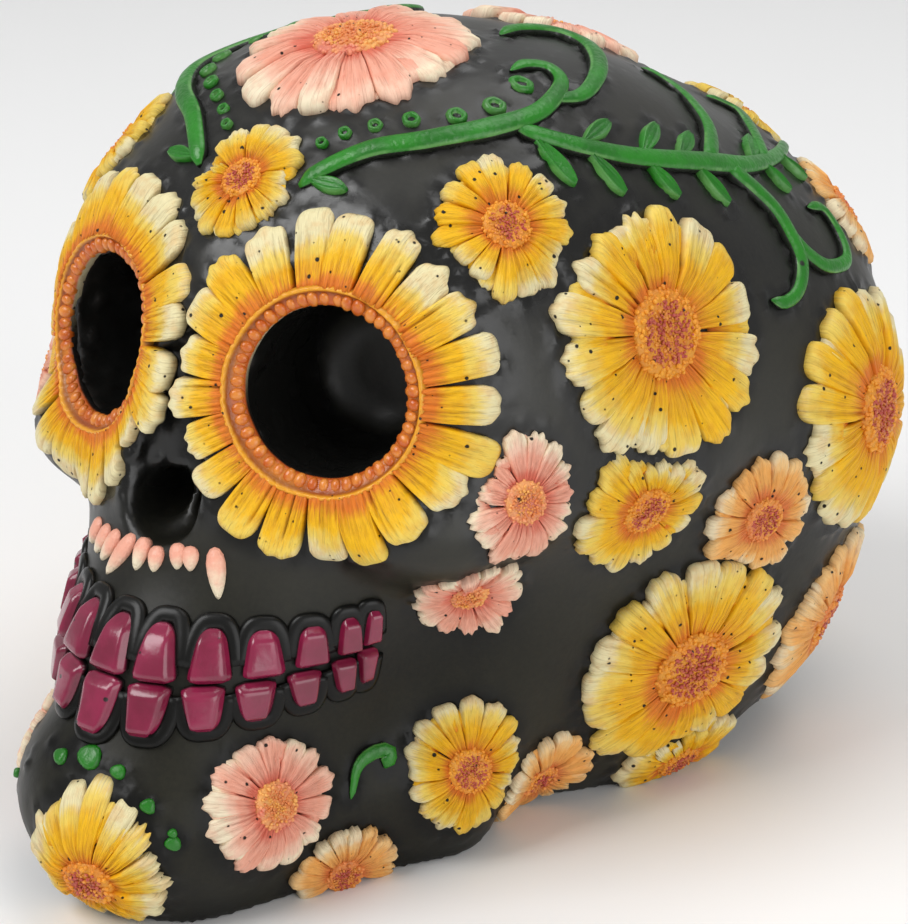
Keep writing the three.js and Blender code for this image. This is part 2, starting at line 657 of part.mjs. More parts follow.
// Columns of a row: a groove, the two shoulders of a tooth, the next groove and so on
function toothColumns(row) {
  const angles = archAngles((row.bite + row.gum) / 2);
  const last = angles.at(-1);
  const columns = [];
  const add = (angle, groove) => {
    columns.push({ angle, groove, back: Math.min(Math.abs(angle) / degToRad(ARCH_END), 1) });
  };
  angles.forEach((angle, i) => {
    const turn = i === 0 ? angles[1] - angle : angle - angles[i - 1];
    const shoulder = (turn * TOOTH_SHOULDERS) / 2;
    add(angle - turn / 2, true);
    add(angle - shoulder, false);
    add(angle + shoulder, false);
    if (angle === last) add(angle + turn / 2, true);
  });
  return columns;
}

// Heights of the bite and of the gum: they sag between the front teeth and the higher back ones.
function toothEnds(row, back) {
  const sag = Math.sin(Math.PI * back ** SAG_REACH);
  const gum = lerp(row.gum, row.backGum, back) - row.gumSag * sag;
  return [row.bite + BITE_LIFT * back ** 2 - BITE_SAG * sag, gum];
}

function toothRow(row) {
  const columns = toothColumns(row);
  const strip = new THREE.BoxGeometry(1, 1, 1, columns.length - 1, 2, 1);
  return reshape(strip, (p) => {
    const { angle, back, groove } = columns[Math.round((p.x + 0.5) * (columns.length - 1))];
    const place = onArch(angle, lerp(...toothEnds(row, back), p.y + 0.5));
    const crown = Math.abs(p.y) < 0.1 ? TOOTH_THICK : TOOTH_THICK * TOOTH_EDGE_SHARE;
    const thick = groove ? GUM_THICK : crown;
    return place.spot.addScaledVector(place.out, p.z > 0 ? thick : 0);
  });
}

// Room for the petals: they keep clear of eye blooms, vines, leaves, curls and teeth.

const keepOff = (place, distance) => (spot) => spot.distanceTo(place) > distance;

function keepOffPath(points, width) {
  const path = skinPath(points);
  const spots = path.getSpacedPoints(Math.ceil(path.getLength() / PATH_STEP));
  return spots.map((spot) => keepOff(spot, width / 2 + 1.5 * PIECE_GAP));
}

function keepOffTeeth(row) {
  return toothColumns(row).map(({ angle, back }) => {
    const [bite, gum] = toothEnds(row, back);
    const clear = Math.abs(gum - bite) / 2 + TOOTH_THICK + PIECE_GAP;
    return keepOff(onArch(angle, (bite + gum) / 2).spot, clear);
  });
}

function clearOfBlooms(spot) {
  const fromEye = new THREE.Vector3(Math.abs(spot.x), spot.y, spot.z).sub(eyeFrame.at);
  if (fromEye.length() > BLOOM_WIDTH) return true;
  return fromEye.cross(eyeFrame.facing).length() > BLOOM_WIDTH / 2 + PIECE_GAP;
}

const obstacles = [clearOfBlooms, ...[UPPER_ROW, LOWER_ROW].flatMap(keepOffTeeth)];
for (const side of [(p) => p, flipX]) {
  for (const { points, root, middle, tip } of [...VINE_STEMS, JAW_CURL]) {
    obstacles.push(...keepOffPath(points.map(side), Math.max(root, middle, tip)));
  }
  for (const points of LEAVES) obstacles.push(...keepOffPath(points.map(side), LEAF_WIDTH));
}

const bothSides = (one) => [
  { ...one, name: `left_${one.name}` },
  { ...one, name: `right_${one.name}`, at: flipX(one.at) },
];

const flowers = [...MIDDLE_FLOWERS, ...SIDE_FLOWERS.flatMap(bothSides)].map((one) => ({
  ...one,
  frame: skinFrame(one.at),
}));

// Neighbouring flowers share out the room between them at a plane.
function neighbourLimits(one) {
  const others = flowers.filter((other) => other !== one);
  return others.map((other) => {
    const between = other.frame.at.clone().sub(one.frame.at);
    const apart = between.length();
    const room = (apart + (one.width ** 2 - other.width ** 2) / (4 * apart) - PIECE_GAP) / 2;
    between.normalize();
    return (spot) => spot.clone().sub(one.frame.at).dot(between) < room;
  });
}

// The assembly

const sugarSkull = new THREE.Group();

function addPiece(name, geometry, color, roughness = 0.55) {
  const mesh = new THREE.Mesh(geometry, new THREE.MeshStandardMaterial({ color, roughness, metalness: 0 }));
  mesh.name = name;
  sugarSkull.add(mesh);
}

function addPair(name, geometry, color, roughness) {
  addPiece(`left_${name}`, seated(geometry), color, roughness);
  addPiece(`right_${name}`, seated(mirrored(geometry)), color, roughness);
}

addPiece("skull", skull(), SKULL_BLACK, 0.42);

const noseMiddle = settle(new THREE.Vector3(0, NOSE.floor, (NOSE.low + NOSE.high) / 2), 0);
const bloomLimits = [
  (spot) => spot.x > PIECE_GAP / 2,
  keepOff(noseMiddle, NOSE.wide / 2 + NOSE_MARGIN),
];
addPair("eye_bloom", bloom(bloomLimits), YELLOW);
addPair("eye_rim", rim(), RIM_ORANGE, 0.4);

for (const one of flowers) {
  const limits = [...obstacles, ...neighbourLimits(one)];
  addPiece(one.name, seated(flower(one, limits)), one.color);
}

addPair("vine", vine(), VINE_GREEN, 0.4);
addPair("jaw_curl", stem(JAW_CURL), VINE_GREEN, 0.4);

addPiece("upper_teeth", seated(toothRow(UPPER_ROW)), TOOTH_RASPBERRY, 0.25);
addPiece("lower_teeth", seated(toothRow(LOWER_ROW)), TOOTH_RASPBERRY, 0.25);

export default sugarSkull;
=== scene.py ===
"""Sugar skull ornament: the painted skull, its raised flowers, eye blooms, vines, teeth and beads."""
import math

import bpy
import numpy as np
from bpy.props import FloatProperty, FloatVectorProperty, IntProperty, PointerProperty
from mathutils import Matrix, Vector, noise


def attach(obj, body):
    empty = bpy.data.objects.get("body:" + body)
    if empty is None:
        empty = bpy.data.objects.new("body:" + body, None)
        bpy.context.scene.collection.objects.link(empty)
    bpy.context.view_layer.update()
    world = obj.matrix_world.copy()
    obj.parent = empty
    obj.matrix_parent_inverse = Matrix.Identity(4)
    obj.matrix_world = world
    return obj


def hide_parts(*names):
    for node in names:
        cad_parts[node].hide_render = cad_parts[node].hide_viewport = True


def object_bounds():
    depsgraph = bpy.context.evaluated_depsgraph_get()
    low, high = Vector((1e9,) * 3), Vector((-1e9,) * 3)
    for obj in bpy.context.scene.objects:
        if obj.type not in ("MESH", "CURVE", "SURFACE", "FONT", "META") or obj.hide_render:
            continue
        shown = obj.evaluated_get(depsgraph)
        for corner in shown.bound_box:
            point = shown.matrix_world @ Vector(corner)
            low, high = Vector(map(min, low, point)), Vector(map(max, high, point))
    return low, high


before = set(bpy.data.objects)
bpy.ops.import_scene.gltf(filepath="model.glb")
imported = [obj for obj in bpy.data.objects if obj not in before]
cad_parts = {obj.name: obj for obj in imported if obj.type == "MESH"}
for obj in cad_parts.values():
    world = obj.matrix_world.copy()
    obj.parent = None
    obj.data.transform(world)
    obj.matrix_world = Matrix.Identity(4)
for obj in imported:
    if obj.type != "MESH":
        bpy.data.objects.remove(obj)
CAD_BOX = [list(corner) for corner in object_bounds()]

bl_info = {
    "name": "Sugar Skull",
    "version": (1, 0, 0),
    "blender": (4, 5, 0),
    "location": "View3D > Sidebar > Sugar Skull",
    "description": "Builds a painted sugar skull ornament with raised flowers",
    "category": "Object",
}

# The shapes below are given in millimetres and written to the meshes in metres.
MM = 0.001
BASE_Z = 0
TINY = 1e-9
TURN = 2 * math.pi
GOLDEN_TURN = 2.39996

# Form of the skull: rounded lumps and bars, mirrored in x, each with the width over which it melts in
BRAINCASE = dict(at=(0, 21, 54.5), size=(122, 107.5, 104.5))
FOREHEAD = dict(at=(0, -11.5, 68.5), size=(97, 85, 97), fullness=2.4, soft=18)
NAPE = dict(at=(0, 11, 22), size=(102, 102, 73), soft=16)
MUZZLE = dict(at=(0, -40, 48), size=(60, 60, 56))
FACE = dict(at=(0, -30, 70), size=(96, 58, 64), soft=8)
GUMS = dict(at=(0, -46, 34), size=(49, 66, 40), soft=6)
CHEEKBONE = dict(at=(31, -47, 57), size=(28, 22, 17), turn=35, soft=6)
CHEEK_ARCH = dict(ends=((40, -38, 60), (49, -8, 61)), thick=(13, 12), soft=6)
NOSE_BRIDGE = dict(ends=((0, -51, 88), (0, -60, 62)), thick=(14, 18), soft=6)
CHIN = dict(at=(0, -69, 14.5), size=(41, 43, 33.5))
JAW_SIDE = dict(ends=((6, -70), (21, -37)), thick=20, top=19, flare=0.2, round=8, soft=8)
JAW_RAMUS = dict(ends=((24, -36, 12), (33, -24, 46)), thick=(22, 18), soft=8)
THROAT = dict(at=(0, -36, 18), size=(48, 70, 60), soft=8)
FACE_SOFT = 8
JAW_SOFT = 10
CAST_LUMPS = dict(height=0.9, fineness=0.5, foot=1)
NEAR = dict(edge=0.97, ring_fade=1.6, ring_depth=0.6, deepest=3, spot_fade=0.9)
NET_MARGIN = 3

# Eyes and nose
EYE = dict(at=(20.8, -54.5, 76), splay=16, lean=8)
EYE_PAD = dict(size=(50, 50, 20), soft=4)
SOCKET = dict(mouth=24.4, floor=21, depth=20, round=6, soft=1.5)
BLOOM_WIDTH = 49
RIM_WIDTH = 30
NOSE_SCOOP = dict(at=(0, -67.5, 62.5), size=(14.5, 15, 20))
NOSTRIL = dict(at=(3.3, -63, 57.4), size=(5.8, 20, 7.4), soft=1.2)
BRIDGE_SCOOP = dict(at=(0, -64, 73), size=(10, 13, 26), soft=2)
NOSE_SOFT = 2
NOSE_CLEAR = dict(at=(0, -68, 61), stretch=(1, 0.5, 0.85), reach=7.4, middle=0.3)

# Flowers: name, place near the skin, width, height, paint. The side ones are given on the left.
MIDDLE_FLOWERS = [
    ("brow_flower", (0, -48, 101), 18, 20.5, "yellow"),
    ("crown_flower", (0, -23.5, 116.5), 37, 36, "pink"),
    ("chin_flower", (5, -89, 9.6), 22, 25.2, "yellow"),
    ("rear_crown_flower", (0, 26, 111), 30, 30, "pink"),
    ("back_flower", (0, 76, 62), 34, 34, "yellow"),
    ("nape_flower", (0, 65, 24), 22, 22, "pink"),
]
SIDE_FLOWERS = [
    ("forehead_flower", (36, -35, 97.5), 20.5, 22, "yellow"),
    ("temple_flower", (49, -16, 80), 40.5, 37, "yellow"),
    ("cheek_arch_flower", (52, -22.5, 56), 23.5, 23, "yellow"),
    ("ear_flower", (57, 1, 48.5), 22, 21, "apricot"),
    ("side_flower", (60, 28, 58.5), 41, 39, "yellow"),
    ("lower_side_flower", (50.5, -7, 25), 39, 38, "yellow"),
    ("cheekbone_flower", (45.5, -43, 62), 16.5, 21, "pink"),
    ("under_cheek_flower", (36, -43, 46), 17, 17, "pink"),
    ("jaw_angle_flower", (35, -41.5, 16.5), 19, 22.5, "yellow"),
    ("behind_jaw_flower", (34, -24, 8.5), 18, 20, "apricot"),
    ("chin_side_flower", (21.5, -69.5, 18), 21.5, 20.5, "pink"),
    ("jaw_edge_flower", (23.5, -57, 2.5), 18, 17, "apricot"),
    ("base_flower", (43, 1, 5), 25, 21, "yellow"),
    ("low_rear_flower", (52, 29.5, 21), 33, 33, "apricot"),
    ("high_rear_flower", (41, 48.5, 83), 23, 21, "apricot"),
    ("rear_top_flower", (18, 51, 93), 20, 20, "yellow"),
    ("rear_side_flower", (36, 62, 46), 24, 24, "yellow"),
    ("low_back_flower", (25, 57, 19), 20, 20, "yellow"),
]
LARGE_FROM = 25
FLOWER_SEED = 100
PETAL_FOOT = 0.9
PIECE_GAP = 0.4
# Layers of petals: turn in petals, root and tip as shares of the flower's radius, lift
PETAL_LAYERS = ((0.5, 0.5, 0.9, -0.7), (0.0, 0.25, 1.0, 0.0))
# Centres: shares of the flower's radius, and heights over the centre's lift
CENTRE = [(0.01, 0.05), (0.09, 0.1), (0.18, 0.25), (0.26, 0.35), (0.31, 0.2), (0.335, -0.3), (0.34, -2.2)]
CENTRE_SIDES = 32
# Florets: material, share of the radius from and to, width on large and on small flowers
FLORETS = ((1, 0.25, 0.34, 0.9, 0.66), (2, 0.0, 0.25, 0.74, 0.54))
FLORET_RISE = ((0, 0.18, 0.27, 0.34), (2.0, 2.15, 2.25, 1.7))
FLORET_PACKING = 4.6
FLORET_STRETCH = (1.2, 0.95, 1)
SMALL_FLORET_DROP = 0.45

# Petals: counts, then shape; ranges are for the chance that makes each petal different
PETAL = dict(overlap=1.0, groove_run=(0.6, 1.2), joined=0.1, sink=0.7, fade=1, crown_at=(0, 0.4, 1),
             flare=0.12, spread=(0.92, 1.12), blunt=(1.9, 3.0), point=(0.7, 1.2), bend=(-0.1, 0.1),
             wander=(-0.16, 0.16), drift=(-0.12, 0.12), cut=(0.3, 1), swell=(0.9, 1.1), step=(-0.25, 0.25),
             twist=(0.2, 1.3), side_bevel=0.14, end_bevel=0.08)
# Each of these gives how strong the painted shade in the gaps between petals may get.
LARGE_PETAL = dict(PETAL, rows=15, columns=25, count=16, fill=0.93, tip=1.15, notch=(0.1, 1.0), grooves=4,
                   groove_width=0.11, groove_depth=0.42, arch=(-0.1, 0.4), lean=0.3, bevel=0.45, gap=1.3,
                   crown=(1.6, 2.2, 1.5))
SMALL_PETAL = dict(PETAL, rows=12, columns=17, count=14, fill=0.92, tip=1.2, notch=(0.1, 0.7), grooves=3,
                   groove_width=0.14, groove_depth=0.36, arch=(-0.1, 0.35), lean=0.22, bevel=0.38, gap=1.2,
                   crown=(1.3, 1.7, 1.2))
BLOOM_PETAL = dict(PETAL, rows=16, columns=35, fill=0.8, tip=0.85, notch=(0.1, 0.6), grooves=7, overlap=1.04,
                   groove_width=0.07, groove_depth=0.45, arch=(0, 0.35), lean=0.15, bevel=0.5, gap=0.6,
                   groove_run=(0.45, 0.95), joined=0.5, fade=1.25, crown_at=(0, 0.35, 1),
                   crown=(2.1, 1.8, 1.2))
BACK_COLUMNS = 11
PETAL_SLOPES = (-0.6, 0.4)
PETAL_STEPS = 28

# Section of the eye rim from its inner foot outwards: radius, height, place in the paint, dark wash
RIM_PROFILE = [(12.6, -1.8, 0, 0), (12.15, -0.9, 0.02, 0), (12.0, -0.1, 0.08, 0), (12.1, 0.4, 0.2, 0),
               (12.45, 0.75, 0.36, 0), (12.9, 0.95, 0.45, 0.2), (13.4, 1.1, 0.5, 0.3), (13.85, 1.3, 0.6, 0.8),
               (14.05, 1.6, 0.72, 0.6), (14.25, 2.0, 0.85, 0), (14.45, 2.15, 0.95, 0), (14.7, 1.95, 1, 0.2),
               (14.95, 1.5, 1, 0.6), (15.2, -1.2, 1, 1)]
RIM_SIDES = 300
RIM_PLEATS = dict(count=60, height=0.09, start=13.9, run=0.4)
RIM_BEAD = dict(at=12.95, lift=0.75, lean=0.45, size=(1.95, 2.5, 1.7))
CREAM_MIDDLE, CREAM_SPREAD = math.radians(138), math.radians(42)

# Vines on the left of the crown: points near the skin, then the width at root, middle and tip
BROW_STEM = ([(9.5, -47, 101.5), (12.5, -44, 104), (17, -40, 106.5), (23, -35, 107.5), (28, -28, 108.5),
              (30, -19.5, 109.5), (27.5, -10.5, 111.5), (24, -8.5, 113), (22, -11.5, 114), (22, -15, 114)],
             (2.6, 3.4, 1.8))
CROWN_HOOK = ([(29, -15, 110.5), (30, -9.5, 110), (28.5, -3.5, 111), (24.5, 3, 112), (18.5, 8, 113),
               (13.5, 7.5, 114), (12, 0.5, 116), (12.5, -5, 116)], (2, 3.2, 2))
SIDE_STEM = ([(29, -24.5, 109), (32, -23, 107.5), (36, -17, 105), (39.5, -7, 102), (41.5, 6, 99),
              (41.5, 19, 96), (38, 32.5, 94), (31.5, 46, 92.5)], (2.6, 3.4, 1.8))
FRONT_SPUR = ([(41.5, 7.5, 98.8), (37, 14.5, 101.5), (33, 17.5, 103.5), (27, 20, 106), (22, 18.5, 108.5)],
              (3, 2.6, 1.4))
REAR_SPUR = ([(40, 25.5, 95), (32.5, 33.5, 97.5), (26, 39.5, 98.5), (24, 34, 101.5)], (2.6, 2.4, 1.4))
TEMPLE_CURL = ([(41.8, 11.5, 97.5), (46, 17, 91), (49.5, 18, 87), (52, 17.5, 83), (54, 14, 80), (54, 10, 79),
                (53.5, 7.5, 80)], (3.2, 3, 1.8))
SIDE_HOOK = ([(49.2, 18, 87.3), (51.5, 20.5, 83.5), (53, 24.5, 81), (52, 31, 80), (49.5, 34, 82.5),
              (46, 34, 86.5), (46, 29.5, 88)], (2.4, 2.4, 1.6))
VINE_STEMS = [BROW_STEM, CROWN_HOOK, SIDE_STEM, FRONT_SPUR, REAR_SPUR, TEMPLE_CURL, SIDE_HOOK]
JAW_CURL = ([(25.5, -57, 15), (24.5, -54.5, 19), (25.5, -51.5, 20.5), (26.5, -49.5, 20), (27, -51, 18)],
            (0.8, 2.1, 2.3))
STEM_LIFT = 0.25
STEM_SPACING = 0.8
# Leaves: root and tip near the skin
LEAVES = [
    ((10.5, -46, 102), (17, -45.5, 102)), ((35.6, -16.5, 105.4), (34.5, -8, 107)),
    ((39.2, -6.8, 102.4), (36, 1.5, 105)), ((40.5, 0.5, 100.4), (37.5, 8.5, 102.5)),
    ((40.8, 21, 95.9), (35, 29, 97.5)), ((32, -23.5, 107.3), (39, -22, 101)),
    ((36.4, -16.8, 104.6), (42, -14, 98.5)), ((39.8, -6.8, 101.5), (44, -3.5, 96)),
    ((41.6, 3.5, 99.2), (46, 7, 93)), ((40.6, 24, 95), (44.5, 27, 90.5)),
    ((37.8, 33.5, 93.6), (41.5, 37, 90)),
]
LEAF_WIDTH = 3.4
LEAF_BREADTH = 0.52 * 2.4
LEAF_THICK = 1.5
LEAF_LIFT = 0.05

# Beads: place and width. The ring dots are mirrored, the chin dots and nose drops are not.
RING_DOTS = [((9, -41.5, 106.5), 2), ((11.5, -39.5, 108), 2.2), ((15, -37, 109), 2.4), ((19, -34, 110), 2.8),
             ((23.5, -29.5, 110), 3.2), ((26, -24, 111), 3.6), ((25, -16.5, 112.5), 4)]
CHIN_DOTS = [((-16.5, -83, 16.5), 1.6), ((-3.5, -86, 24.5), 2.6), ((1.5, -85, 25.5), 3.9),
             ((6.5, -84.5, 24.5), 2.3), ((12, -84.5, 21), 2.3), ((15.5, -83.5, 17.5), 1.4),
             ((15.5, -83.5, 16), 2.3)]
NOSE_DROPS = [((-14, -66.5, 50), 5), ((-11.2, -68.2, 50), 5.6), ((-8.6, -69.2, 50), 6),
              ((-5.6, -70, 49.6), 8), ((-1.5, -70.5, 51), 5), ((1.5, -70.5, 51), 3.8), ((5, -69.5, 52), 3.8),
              ((7, -69, 52), 3.6), ((11, -68, 50.5), 7.4)]
DROP_SLANT = ((-14, -5, -1, 11), (-0.55, -0.5, 0, 0.15))
DOT_THICK = 2.0
DROP_THICK = 2.4
# Sections of beads one unit across: radius and height
FLORET = dict(profile=[(0.42, -0.4), (0.5, 0), (0.4, 0.3), (0.2, 0.44), (0.03, 0.46)], sides=6)
BEAD = dict(profile=[(0.5, -0.3), (0.5, 0.05), (0.42, 0.28), (0.25, 0.42), (0.04, 0.46)], sides=10)
RING_DOT = dict(profile=[(0.5, -0.3), (0.5, 0.15), (0.45, 0.36), (0.34, 0.44), (0.25, 0.36), (0.2, 0.12),
                         (0.03, 0.06)],
                sides=16, lobes=5, unevenness=0.04, tints=(1, 0.7, 0.5, 0.5, 0.4, 1, 1))
BLOB = dict(profile=[(0.5, -0.3), (0.52, 0.12), (0.44, 0.3), (0.3, 0.37), (0.05, 0.36)], sides=14, lobes=3,
            unevenness=0.08)
DROP = dict(profile=[(0.5, -0.3), (0.5, 0.1), (0.42, 0.26), (0.2, 0.4), (0.04, 0.42)], sides=16, taper=0.7)

# Teeth
TEETH_PER_ROW = 13
TOOTH_CROWDING = 0.00087
TOOTH_THICK = 2.4
TOOTH_GRID = (19, 17)
TOOTH_FILL = 0.84
TOOTH_SINK = 0.6
ARCH_AXIS_Y = -46
ARCH_END = 84
ARCH_WIDEST, ARCH_TURNS, ARCH_STEP = 60.0, 50, 0.75
BITE_LIFT = 3
BITE_SAG = 0.8
SAG_REACH = 1.6
UPPER_ROW = dict(name="upper", seed=31, pitch=7.35, bite=36.8, gum=44.2, back_gum=45.6, gum_sag=1.8,
                 taper=0.36)
LOWER_ROW = dict(name="lower", seed=32, pitch=7.75, bite=36, gum=28.2, back_gum=32.8, gum_sag=0,
                 taper=0.45)
TOOTH_ROWS = (UPPER_ROW, LOWER_ROW)
GUM_LINE = dict(width=2.5, sink=0.2, steps=34, reach=0.49)

# Camera, as the photograph was taken
CAMERA_TURN = math.radians(38)
CAMERA_RISE = math.radians(21)
CAMERA_AWAY = 430
CAMERA_TARGET = (0, 0, 44)
CAMERA_FOCUS_PIXELS = 2650
IMAGE_WIDTH_PIXELS = 908
SENSOR_WIDTH = 36

# Floor and lights, in metres
FLOOR = dict(reach=2.2, back=0.9, bend=0.7, rise=1.6, steps=14)
LIGHT_TARGET = Vector((0, 0, 0.05))
KEY_LIGHT = dict(place=(-0.35, -0.75, 0.95), size=0.7)
FILL_LIGHT = dict(place=(1.0, -0.32, 0.34), size=0.8)
TOP_LIGHT = dict(place=(0.1, 0.35, 1.1), size=0.8)
WORLD_STRENGTH = 0.4


# Heights above the lumps, negative inside

def blend(a, b, width):
    overlap = np.maximum(width - np.abs(a - b), 0) / width
    return np.minimum(a, b) - overlap * overlap * width / 4


def carve(a, b, width):
    return -blend(-a, b, width)


def turned(p, degrees):
    s, c = math.sin(math.radians(degrees)), math.cos(math.radians(degrees))
    x, y, z = np.moveaxis(p, -1, 0)
    return np.stack([c * x + s * y, c * y - s * x, z], axis=-1)


def ovoid(p, size):
    scaled = 2 * p / size
    reach = np.linalg.norm(scaled, axis=-1)
    slope = 2 * np.linalg.norm(scaled / size, axis=-1)
    return reach * (reach - 1) / np.maximum(slope, TINY)


def full_ovoid(p, size, fullness):
    reach = np.sum(np.abs(2 * p / size) ** fullness, axis=-1) ** (1 / fullness)
    return np.linalg.norm(p, axis=-1) * (1 - 1 / np.maximum(reach, TINY))


def off_line(p, ends):
    """How far the points lie from a line between two ends, and how far along it."""
    start, end = np.array(ends, float)
    along = end - start
    local = p - start
    t = np.clip(local @ along / (along @ along), 0, 1)
    return np.linalg.norm(local - t[..., None] * along, axis=-1), t


def lump(p, row):
    """Height above a bar, if the row gives its ends, or above a rounded lump."""
    if "ends" in row:
        away, t = off_line(p, row["ends"])
        root, tip = row["thick"]
        return away - (root + (tip - root) * t) / 2
    local = p - row["at"]
    if "turn" in row:
        local = turned(local, row["turn"])
    if "fullness" in row:
        return full_ovoid(local, row["size"], row["fullness"])
    return ovoid(local, row["size"])


def melt(p, form, *rows):
    """The form with more lumps melted in, one after the other."""
    for row in rows:
        form = blend(form, lump(p, row), row["soft"])
    return form


def rounded(side, above, radius):
    corner = np.hypot(np.maximum(side + radius, 0), np.maximum(above + radius, 0))
    return corner + np.minimum(np.maximum(side, above) + radius, 0) - radius


def jaw_side(p):
    away, _ = off_line(p[..., :2], JAW_SIDE["ends"])
    side = away - JAW_SIDE["thick"] / 2 - JAW_SIDE["flare"] * p[..., 2]
    return rounded(side, p[..., 2] - JAW_SIDE["top"], JAW_SIDE["round"])


def axes_at(at, facing, upward):
    """A frame at a place: across, up and facing."""
    across = np.cross(upward, facing)
    across /= np.linalg.norm(across)
    return dict(at=at, facing=facing, across=across, up=np.cross(facing, across))


def eye_axes():
    splay, lean = math.radians(EYE["splay"]), math.radians(EYE["lean"])
    level = math.cos(lean)
    facing = np.array([math.sin(splay) * level, -math.cos(splay) * level, math.sin(lean)])
    return axes_at(np.array(EYE["at"], float), facing, (0, 0, 1))


def mirrored_axes(axes):
    flip = np.array([-1.0, 1, 1])
    return dict(at=axes["at"] * flip, facing=axes["facing"] * flip, across=-axes["across"] * flip,
                up=axes["up"] * flip)


def in_axes(p, axes):
    local = p - axes["at"]
    return local @ axes["across"], local @ axes["up"], local @ axes["facing"]


LEFT_EYE = eye_axes()
EYES = dict(left=LEFT_EYE, right=mirrored_axes(LEFT_EYE))


def eye_pad(p):
    a, b, c = in_axes(p, LEFT_EYE)
    return ovoid(np.stack([a, b, c + EYE_PAD["size"][2] / 2], axis=-1), EYE_PAD["size"])


def folded(p):
    """The points, with those on the skull's right moved to its left."""
    return np.concatenate([np.abs(p[..., :1]), p[..., 1:]], axis=-1)


def skin_form(p):
    """Height above the skull's whole skin, with no sockets, nose or base cut."""
    p = folded(p)
    head = melt(p, lump(p, BRAINCASE), FOREHEAD, NAPE)
    face = blend(melt(p, lump(p, MUZZLE), FACE, GUMS), eye_pad(p), EYE_PAD["soft"])
    face = melt(p, face, CHEEKBONE, CHEEK_ARCH, NOSE_BRIDGE)
    jaw = melt(p, blend(lump(p, CHIN), jaw_side(p), JAW_SIDE["soft"]), JAW_RAMUS, THROAT)
    return blend(blend(head, face, FACE_SOFT), jaw, JAW_SOFT)


def socket_form(p):
    a, b, c = in_axes(p, LEFT_EYE)
    deep = np.clip((c + SOCKET["depth"]) / SOCKET["depth"], 0, 1)
    wall = (SOCKET["floor"] + (SOCKET["mouth"] - SOCKET["floor"]) * deep) / 2
    return rounded(np.hypot(a, b) - wall, -c - SOCKET["depth"], SOCKET["round"])


def carved_form(p):
    """Height above the skull with its sockets and nose cut in and its base cut flat."""
    half = folded(p)
    skin = carve(skin_form(p), socket_form(half), SOCKET["soft"])
    nose = melt(half, lump(half, NOSE_SCOOP), NOSTRIL, BRIDGE_SCOOP)
    return np.maximum(carve(skin, nose, NOSE_SOFT), -p[..., 2])


def outward(p, form=skin_form, span=0.15):
    slope = np.stack([form(p + step) - form(p - step) for step in np.eye(3) * span], axis=-1)
    return slope / np.maximum(np.linalg.norm(slope, axis=-1, keepdims=True), TINY)


def settle(p, height=0, form=skin_form, turns=8):
    """The nearest points that lie the given height above the skin."""
    p = np.array(p, float)
    for _ in range(turns):
        p += outward(p, form) * (height - form(p))[..., None]
    return p


# Places on the skin

def skin_axes(place):
    """A frame on the skin. Its up is towards the crown or, on flat parts of the crown, to the back."""
    at = settle([place], turns=14)
    facing = outward(at, span=2.5)[0]
    upright = facing[2] < math.cos(math.pi / 5)
    return axes_at(at[0], facing, (0, 0, 1) if upright else (0, 1, 0))


def drape(axes, radius, angle):
    """Points on the skin at distances and angles round the middle of a frame."""
    return drape_flat(axes, radius * np.cos(angle), radius * np.sin(angle))


def drape_flat(axes, u, v):
    """Points on the skin below the flat places u, v of a frame, along its facing."""
    flat = axes["at"] + u[..., None] * axes["across"] + v[..., None] * axes["up"]
    reach = np.hypot(u, v) + 2
    height, lowest, step = 0.7 * reach, -1.2 * reach, 0.8
    for _ in range(15):
        above = skin_form(flat + height[..., None] * axes["facing"])
        height = np.clip(height - step * above, lowest, None)
    return flat + height[..., None] * axes["facing"]


def mirror_x(place):
    return (-place[0], place[1], place[2])


def stem_path(points):
    """A smooth path through the points, laid on the skin, with the skin's facing at each spot."""
    points = settle(points)
    padded = np.concatenate([2 * points[:1] - points[1:2], points, 2 * points[-1:] - points[-2:-1]])
    spots = []
    for a, b, c, d in zip(padded, padded[1:], padded[2:], padded[3:]):
        steps = max(2, int(np.linalg.norm(c - b) / STEM_SPACING))
        for t in np.arange(steps) / steps:
            spots.append(0.5 * (2 * b + (c - a) * t + (2 * a - 5 * b + 4 * c - d) * t * t
                                + (3 * b - a - 3 * c + d) * t ** 3))
    spots = settle(spots + [points[-1]], turns=4)
    return spots, outward(spots)


def on_arch(angle, z):
    """Spots on the gums at angles round the dental arch, and the way out there."""
    out = np.stack([np.sin(angle), -np.cos(angle), 0 * angle], axis=-1)
    axis = np.stack([0 * z, 0 * z + ARCH_AXIS_Y, z], axis=-1)
    radius = np.full(angle.shape, ARCH_WIDEST)
    for _ in range(ARCH_TURNS):
        radius = radius - ARCH_STEP * skin_form(axis + radius[..., None] * out)
    return axis + radius[..., None] * out, out


def tooth_places(row):
    """Angle, turn and share of the way back of each tooth. They stand closer together towards the back."""
    fine = np.radians(np.arange(0, 110, 0.25))
    spots, _ = on_arch(fine, np.full(fine.shape, (row["bite"] + row["gum"]) / 2))
    walked = np.concatenate([[0], np.cumsum(np.linalg.norm(np.diff(spots, axis=0), axis=1))])
    order = np.arange((TEETH_PER_ROW + 1) // 2)
    half = np.interp(row["pitch"] * order - TOOTH_CROWDING * order ** 5, walked, fine)
    angles = np.concatenate([-half[:0:-1], half])
    back = np.minimum(np.abs(angles) / math.radians(ARCH_END), 1)
    return list(zip(angles, np.gradient(angles), back))


def tooth_ends(row, back):
    """Heights of the bite and of the gum: they sag between the front teeth and the higher back ones."""
    sag = math.sin(math.pi * back ** SAG_REACH)
    gum = row["gum"] + (row["back_gum"] - row["gum"]) * back - row["gum_sag"] * sag
    return row["bite"] + BITE_LIFT * back ** 2 - BITE_SAG * sag, gum


